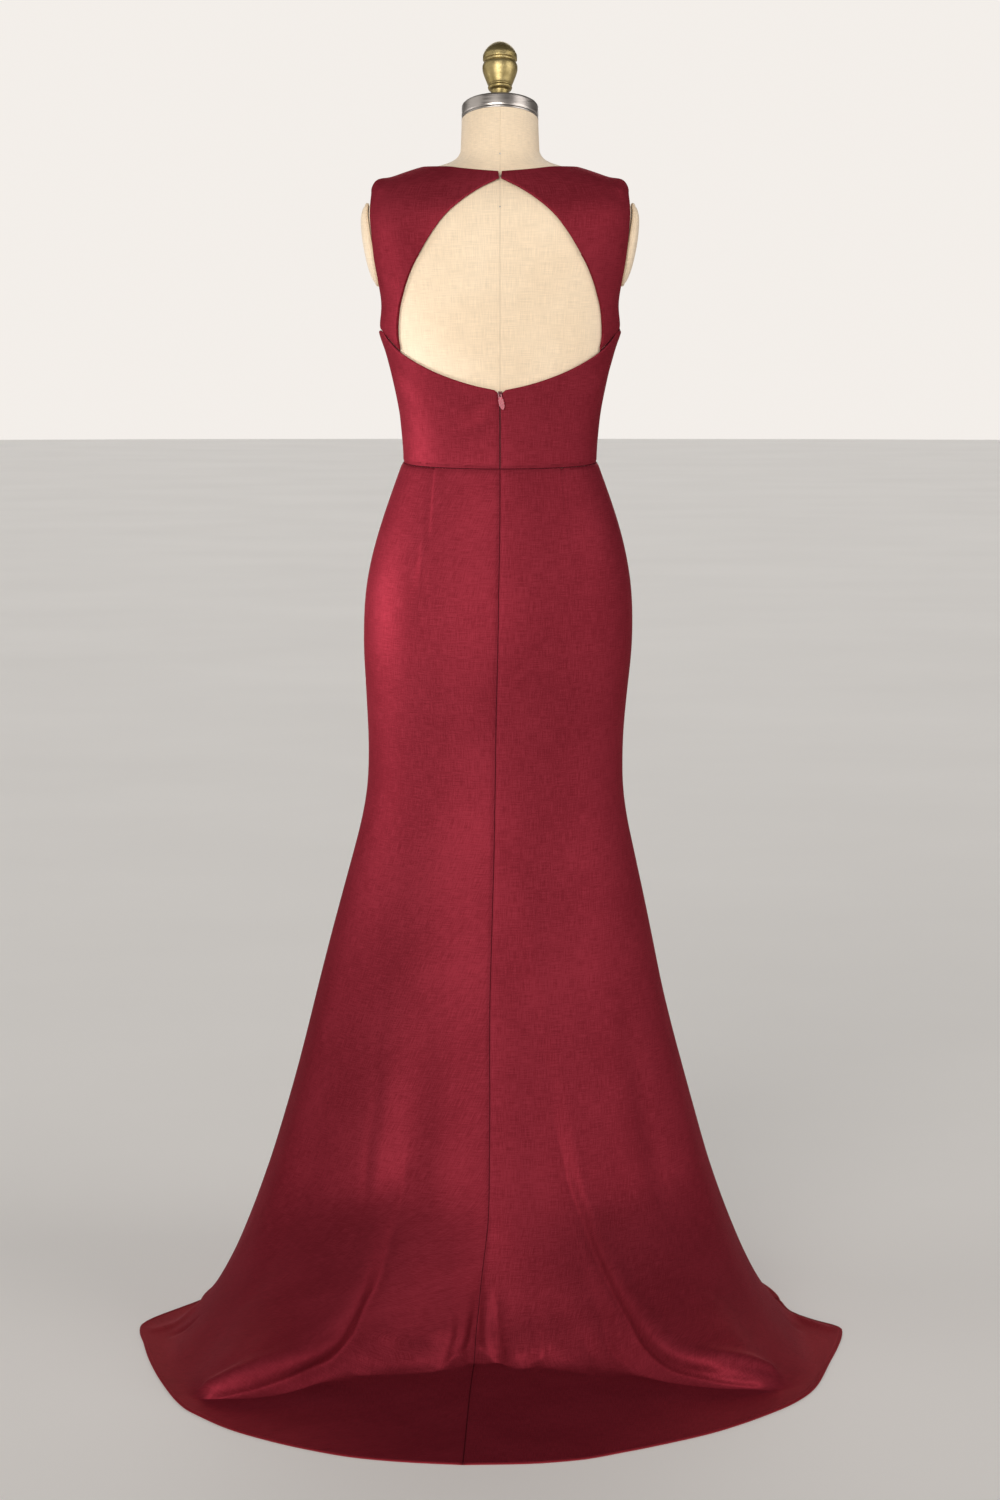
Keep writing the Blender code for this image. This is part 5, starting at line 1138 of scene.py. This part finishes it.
ROUND_FOLDS = (
    # half widths, depths, then turn and height down the front and sides, where no photo shows them
    ((0.0022, 0.0022, 0.003), (-0.0012, -0.0012, -0.0004), ((146, 1.046), (147, 1.0), (147.5, 0.962))),
    ((0.0022, 0.0022, 0.003), (-0.0012, -0.0012, -0.0004), ((-146, 1.046), (-147, 1.0), (-147.5, 0.962))),
    ((0.018, 0.026, 0.03), (0.0004, 0.006, 0.011), ((160, 0.56), (157, 0.3), (153, 0.03))),
    ((0.018, 0.026, 0.03), (-0.0004, -0.005, -0.009), ((172, 0.5), (170, 0.26), (168, 0.03))),
    ((0.018, 0.026, 0.03), (0.0004, 0.0055, 0.01), ((184, 0.48), (184, 0.24), (182, 0.03))),
    ((0.018, 0.026, 0.03), (-0.0004, -0.005, -0.008), ((194, 0.54), (197, 0.28), (197, 0.03))),
    ((0.018, 0.026, 0.03), (0.0004, 0.006, 0.011), ((206, 0.59), (209, 0.31), (212, 0.03))),
    ((0.018, 0.026, 0.03), (-0.0004, -0.005, -0.008), ((146, 0.52), (142, 0.28), (138, 0.03))),
    ((0.018, 0.024, 0.028), (0.0004, 0.004, 0.008), ((130, 0.47), (126, 0.25), (124, 0.04))),
    ((0.018, 0.024, 0.028), (-0.0004, -0.004, -0.007), ((222, 0.5), (226, 0.26), (228, 0.04))),
    ((0.018, 0.024, 0.028), (0.0004, 0.0045, 0.008), ((236, 0.44), (241, 0.24), (244, 0.04))),
    ((0.016, 0.022, 0.02), (-0.0002, -0.003, -0.003), ((110, 0.42), (108, 0.24), (107, 0.09))),
    ((0.016, 0.022, 0.02), (-0.0002, -0.003, -0.003), ((254, 0.46), (253, 0.26), (254, 0.09))),
    ((0.012, 0.016, 0.014), (-0.0002, -0.001, -0.0003), ((100, 0.99), (118, 0.96), (140, 0.948))),
    ((0.012, 0.016, 0.014), (0.0002, 0.001, 0.0003), ((262, 0.975), (244, 0.94), (226, 0.93))),
    ((0.014, 0.018, 0.016), (-0.0002, -0.0012, -0.0003), ((128, 0.7), (150, 0.675), (176, 0.68))),
    ((0.014, 0.018, 0.016), (-0.0002, -0.001, -0.0003), ((238, 0.65), (220, 0.63), (200, 0.64))),
)
normal = ring_normals(skirt)
round_folds = tuple((half, deep, ring_point(*np.array(line, float).T)) for half, deep, line in ROUND_FOLDS)
skirt = skirt + normal * pushed(skirt, normal, SKIRT_FOLDS + round_folds)[..., None]
skirt[..., 2] = np.maximum(skirt[..., 2], 0)
normal = ring_normals(skirt)
normal[0, :, 2] = 0
normal[..., 2] = np.maximum(normal[..., 2], STEEPEST)
normal = unit(normal)
hem_finish, tree, shader, cloth_colour = crepe("hemmed_crepe")
hem_place = node(tree, "SeparateXYZ", {0: node(tree, "UVMap", uv_map="edge").outputs[0]}).outputs
from_stitch = reckon(tree, "ABSOLUTE", reckon(tree, "SUBTRACT", hem_place[1], HEM_DEEP - STITCH_IN))
stitched = ranged(tree, from_stitch, 0.00022, 0.00040, 1.0, 0.0)
stitch_step = reckon(tree, "FRACT", reckon(tree, "DIVIDE", hem_place[0], STITCH_PITCH))
thread = reckon(tree, "MULTIPLY", stitched, reckon(tree, "LESS_THAN", stitch_step, STITCH_SHARE))
# The hem's folded edge is coloured a lighter red: a painted highlight where light catches the fold.
edge_highlight = ranged(tree, hem_place[1], 0.0008, 0.0022, 1.0, 0.0)
highlighted_hem = blend_colours(tree, edge_highlight, cloth_colour, (0.24, 0.022, 0.031, 1))
threaded = blend_colours(tree, thread, highlighted_hem, (0.30, 0.030, 0.045, 1))
wire(tree, shader, Base_Color=threaded)
right_seam = len(back_share) - 1
left_seam = right_seam + len(front_turn) - 1
looped = np.concatenate([skirt, skirt[:, :1]], axis=1)
looped_normal = np.concatenate([normal, normal[:, :1]], axis=1)
for name, node_name, first, last, flat, cut in (
        ("skirt_back_panel_right", "skirt_back_right", 0, right_seam, (0.50, 1.55), 0.477),
        ("skirt_front_panel", "skirt_front", right_seam, left_seam, (0.95, 1.10), 0.626),
        ("skirt_back_panel_left", "skirt_back_left", left_seam, columns, (0.55, 1.55), 0.465)):
    inner = looped[::-1, first:last + 1]
    out = looped_normal[::-1, first:last + 1]
    away = margins(inner)
    inner = drawn_back(inner, away, SKIRT_SEAMS)
    from_hem = away["first row"]
    above_hem = np.exp(np.clip((from_hem - HEM_DEEP) / HEM_STEP, -30, 30))
    thick = CLOTH - rolled(away, SKIRT_SEAMS, SEAM_ROLL, SEAM_ROLL_WIDE) + HEM_THICKER / (1 + above_hem)
    thick = thick - STITCH_DEEP * np.exp(-((from_hem - HEM_DEEP + STITCH_IN) / STITCH_HALF) ** 2)
    thick = thick - FOLDED_ROLL * np.exp(-(from_hem / FOLDED_WIDE) ** 2)
    outer = inner + out * thick[..., None]
    outer[..., 2] = np.maximum(outer[..., 2], 0)
    uv = np.stack([away["first column"] + CLOTH_SHIFT * first / columns, away["last row"]], -1)
    edge_uv = np.stack([away["first column"], from_hem], -1)
    made = cloth_wall(name, inner, outer, uv, hem_finish, edge_uv)
    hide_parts(node_name)

# The seams. Each is a plain seam, and its thread and folded edges fill the narrow gap between two pieces,
# coloured far darker than the crepe as painted shade for the shadow in the seam. They lie in the bottom of
# the rolled edges' groove.
SEAM_FILL_HALF, SEAM_FILL_FROM, SEAM_FILL_TO, WAIST_FILL_TO = 0.00055, 0.00012, 0.00085, 0.0010
YOKE_SEAM = ((83.0, 1.2125), (72.0, 1.2000), (60.5, 1.1870))
# A dark burgundy, far darker than the crepe: painted shade for the shadow down the seam gap.
seam_shade_finish = mottled("seam_thread_painted_shade", 300.0, (0.050, 0.0045, 0.0080, 1), (0.085, 0.0080, 0.0135, 1),
                      0.70, 0.88, 0.4, IOR=1.1)


def seam_fill(name, line, out, closed=False, top=SEAM_FILL_TO):
    """A flat ribbon along a line of places on the cloth's wrong side: at each place a rectangle
    across the line, between two distances out along the normal."""
    ahead = np.gradient(line, axis=0)
    if closed:
        ahead = np.roll(line, -1, 0) - np.roll(line, 1, 0)
    across = unit(np.cross(ahead, out))
    corners = [line + side * SEAM_FILL_HALF * across + far * out
               for side, far in ((-1, SEAM_FILL_FROM), (1, SEAM_FILL_FROM), (1, top), (-1, top))]
    rings = np.stack(corners, 1)
    rings[..., 2] = np.maximum(rings[..., 2], 0.0001)
    number = np.arange(len(line) * 4).reshape(-1, 4)
    low, high = (number, np.roll(number, -1, 0)) if closed else (number[:-1], number[1:])
    faces = np.stack([low, np.roll(low, -1, 1), np.roll(high, -1, 1), high], -1).reshape(-1, 4).tolist()
    if not closed:
        faces += [number[0, ::-1].tolist(), number[-1].tolist()]
    made = piece(name, rings, faces, seam_shade_finish)
    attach(made, "dress_and_form")


def along_form(turn, height):
    """A line on the bodice's wrong side and its normals, from turns and heights."""
    line = on_form(turn, height, ease(turn, height))
    out = on_form(turn, height, ease(turn, height) + 0.001) - line
    return line, unit(out)


for name, column in (("seam_centre_back", 0), ("seam_side_right", right_seam), ("seam_side_left", left_seam)):
    seam_fill(name, skirt[::-1, column], normal[::-1, column])
round_turn = np.linspace(-180, 180, 241)[:-1]
seam_fill("seam_waist", *along_form(round_turn, waist_line(round_turn)), closed=True, top=WAIST_FILL_TO)
up_side = np.linspace(WAIST, UNDERARM[1] - 0.001, 60)
yoke_turn, yoke_height = evenly(YOKE_SEAM, np.linspace(0.01, 0.99, 40)).T
for side, word in ((1, "right"), (-1, "left")):
    for label, turn, height in (("bodice_side_", 90.0 + 0 * up_side, up_side),
                                ("yoke_foot_", yoke_turn, yoke_height)):
        line, out = along_form(turn, height)
        seam_fill("seam_" + label + word, line * (side, 1, 1), out * (side, 1, 1))

# The zip. A concealed zip runs down the centre back seam from the foot of the keyhole to the hip: two
# woven tapes with their small teeth stay behind the cloth, coloured far darker than the crepe as painted
# shade for the shadowed gap along the seam, and the lacquered slider and pull show.
ZIP_FOOT, ZIP_TOP = 0.868, 1.1370
TAPE_WIDE, TAPE_THICK, TAPE_SPLIT = 0.0125, 0.0004, 0.0003
TAPE_BEHIND, TEETH_BEHIND = 0.0024, 0.0019      # from the cloth's wrong side to each one's middle
TOOTH_PITCH, TOOTH_TALL, TOOTH_WIDE, TOOTH_DEEP = 0.00130, 0.00075, 0.0019, 0.0008
above = np.linspace(1.040, 1.1400, 30)
below = skirt[::-1, 0][skirt[::-1, 0, 2] < 1.026]
cloth_height = np.concatenate([below[:, 2], above])
cloth_back = np.concatenate([below[:, 1], on_form(0 * above, above, EASE + 0 * above)[:, 1]])
zip_height = np.arange(ZIP_FOOT, ZIP_TOP, 0.002)
zip_y = bell_blur(np.interp(zip_height, cloth_height, cloth_back), 2.0)
zip_x = np.interp(zip_height, skirt[::-1, 0, 2], skirt[::-1, 0, 0])
# Tapes and teeth far darker than the crepe: painted shade for the shadow in the seam gap.
tape_shade_finish = mottled("zip_tape_painted_shade", 300.0, (0.030, 0.003, 0.005, 1), (0.050, 0.005, 0.008, 1), 0.75, 0.90,
                      0.5, IOR=1.1)
teeth_shade_finish = mottled("zip_teeth_painted_shade", 500.0, (0.045, 0.004, 0.007, 1), (0.075, 0.007, 0.011, 1), 0.40, 0.55,
                       0.2, IOR=1.25)
for side, word in ((1, "right"), (-1, "left")):
    reach = [(TAPE_SPLIT, -TAPE_THICK / 2), (TAPE_WIDE, -TAPE_THICK / 2), (TAPE_WIDE, TAPE_THICK / 2),
             (TAPE_SPLIT, TAPE_THICK / 2)]
    rings = np.stack([np.stack([zip_x + side * out, zip_y + TAPE_BEHIND + back, zip_height], -1)
                      for out, back in reach], 1)
    tape = closed_skin("zip_tape_painted_shade_" + word, rings if side > 0 else rings[:, ::-1], tape_shade_finish)
    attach(tape, "dress_and_form")
tooth_height = np.arange(ZIP_FOOT + 0.004, ZIP_TOP - 0.0012, TOOTH_PITCH / 2)
tooth_side = np.where(np.arange(len(tooth_height)) % 2 == 0, 1.0, -1.0)
corner = np.array([(x, y, z) for z in (-0.5, 0.5) for y in (-0.5, 0.5) for x in (-0.18, 0.82)])
tooth = np.repeat(corner[None], len(tooth_side), 0) * (TOOTH_WIDE, TOOTH_DEEP, TOOTH_TALL)
tooth[..., 0] *= tooth_side[:, None]
tooth_x = np.interp(tooth_height, zip_height, zip_x)
tooth_y = np.interp(tooth_height, zip_height, zip_y) + TEETH_BEHIND
tooth = tooth + np.stack([tooth_x, tooth_y, tooth_height], -1)[:, None]
box = np.array([(0, 2, 3, 1), (4, 5, 7, 6), (0, 1, 5, 4), (2, 6, 7, 3), (0, 4, 6, 2), (1, 3, 7, 5)])
boxes = np.where(tooth_side[:, None, None] > 0, box, box[:, ::-1]) + 8 * np.arange(len(tooth))[:, None, None]
teeth = piece("zip_teeth_painted_shade", tooth, boxes.reshape(-1, 4).tolist(), teeth_shade_finish, 30.0)
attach(teeth, "dress_and_form")
slider_finish = mottled("painted_zip", 220.0, (0.070, 0.006, 0.010, 1), (0.110, 0.009, 0.015, 1), 0.34, 0.50,
                        0.2, IOR=1.25, Coat_Weight=0.15, Coat_Roughness=0.25)
pull_finish = mottled("painted_pull", 220.0, (0.30, 0.016, 0.040, 1), (0.38, 0.024, 0.052, 1), 0.20, 0.32,
                      0.2, IOR=1.4, Coat_Weight=0.25, Coat_Roughness=0.08)
refinish("zip_slider", slider_finish)
refinish("zip_pull", pull_finish)

# The hook and eye. Both are bent from silvery wire and sewn to the facing at the top of the keyhole.
wire_finish = mottled("silver_wire", 240.0, (0.42, 0.41, 0.40, 1), (0.62, 0.61, 0.59, 1), 0.22, 0.38, 0.2,
                      Metallic=1.0)
refinish("neck_hook", wire_finish)
refinish("neck_eye", wire_finish)

# Two steel pins in the form's centre back seam, pushed in up to their small round heads.
PIN_HEIGHTS, PIN_PROUD = (1.3585, 1.4235), 0.0007
PIN_PROFILE = (
    # radius, height above the linen
    (0.00002, -0.0012), (0.00030, -0.0011), (0.00032, 0.0), (0.00095, 0.0001), (0.00100, 0.0004),
    (0.00075, 0.0008), (0.00002, 0.0010),
)
for height, word in zip(PIN_HEIGHTS, ("back", "neck")):
    place = on_form(0.0, height, PIN_PROUD)
    away = place - on_form(0.0, height, 0.0)
    lean = math.atan2(away[1], away[2])
    pin = turned("form_pin_" + word, PIN_PROFILE, place, lean, wire_finish, 14, 60.0)
    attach(pin, "dress_and_form")

low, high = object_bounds()
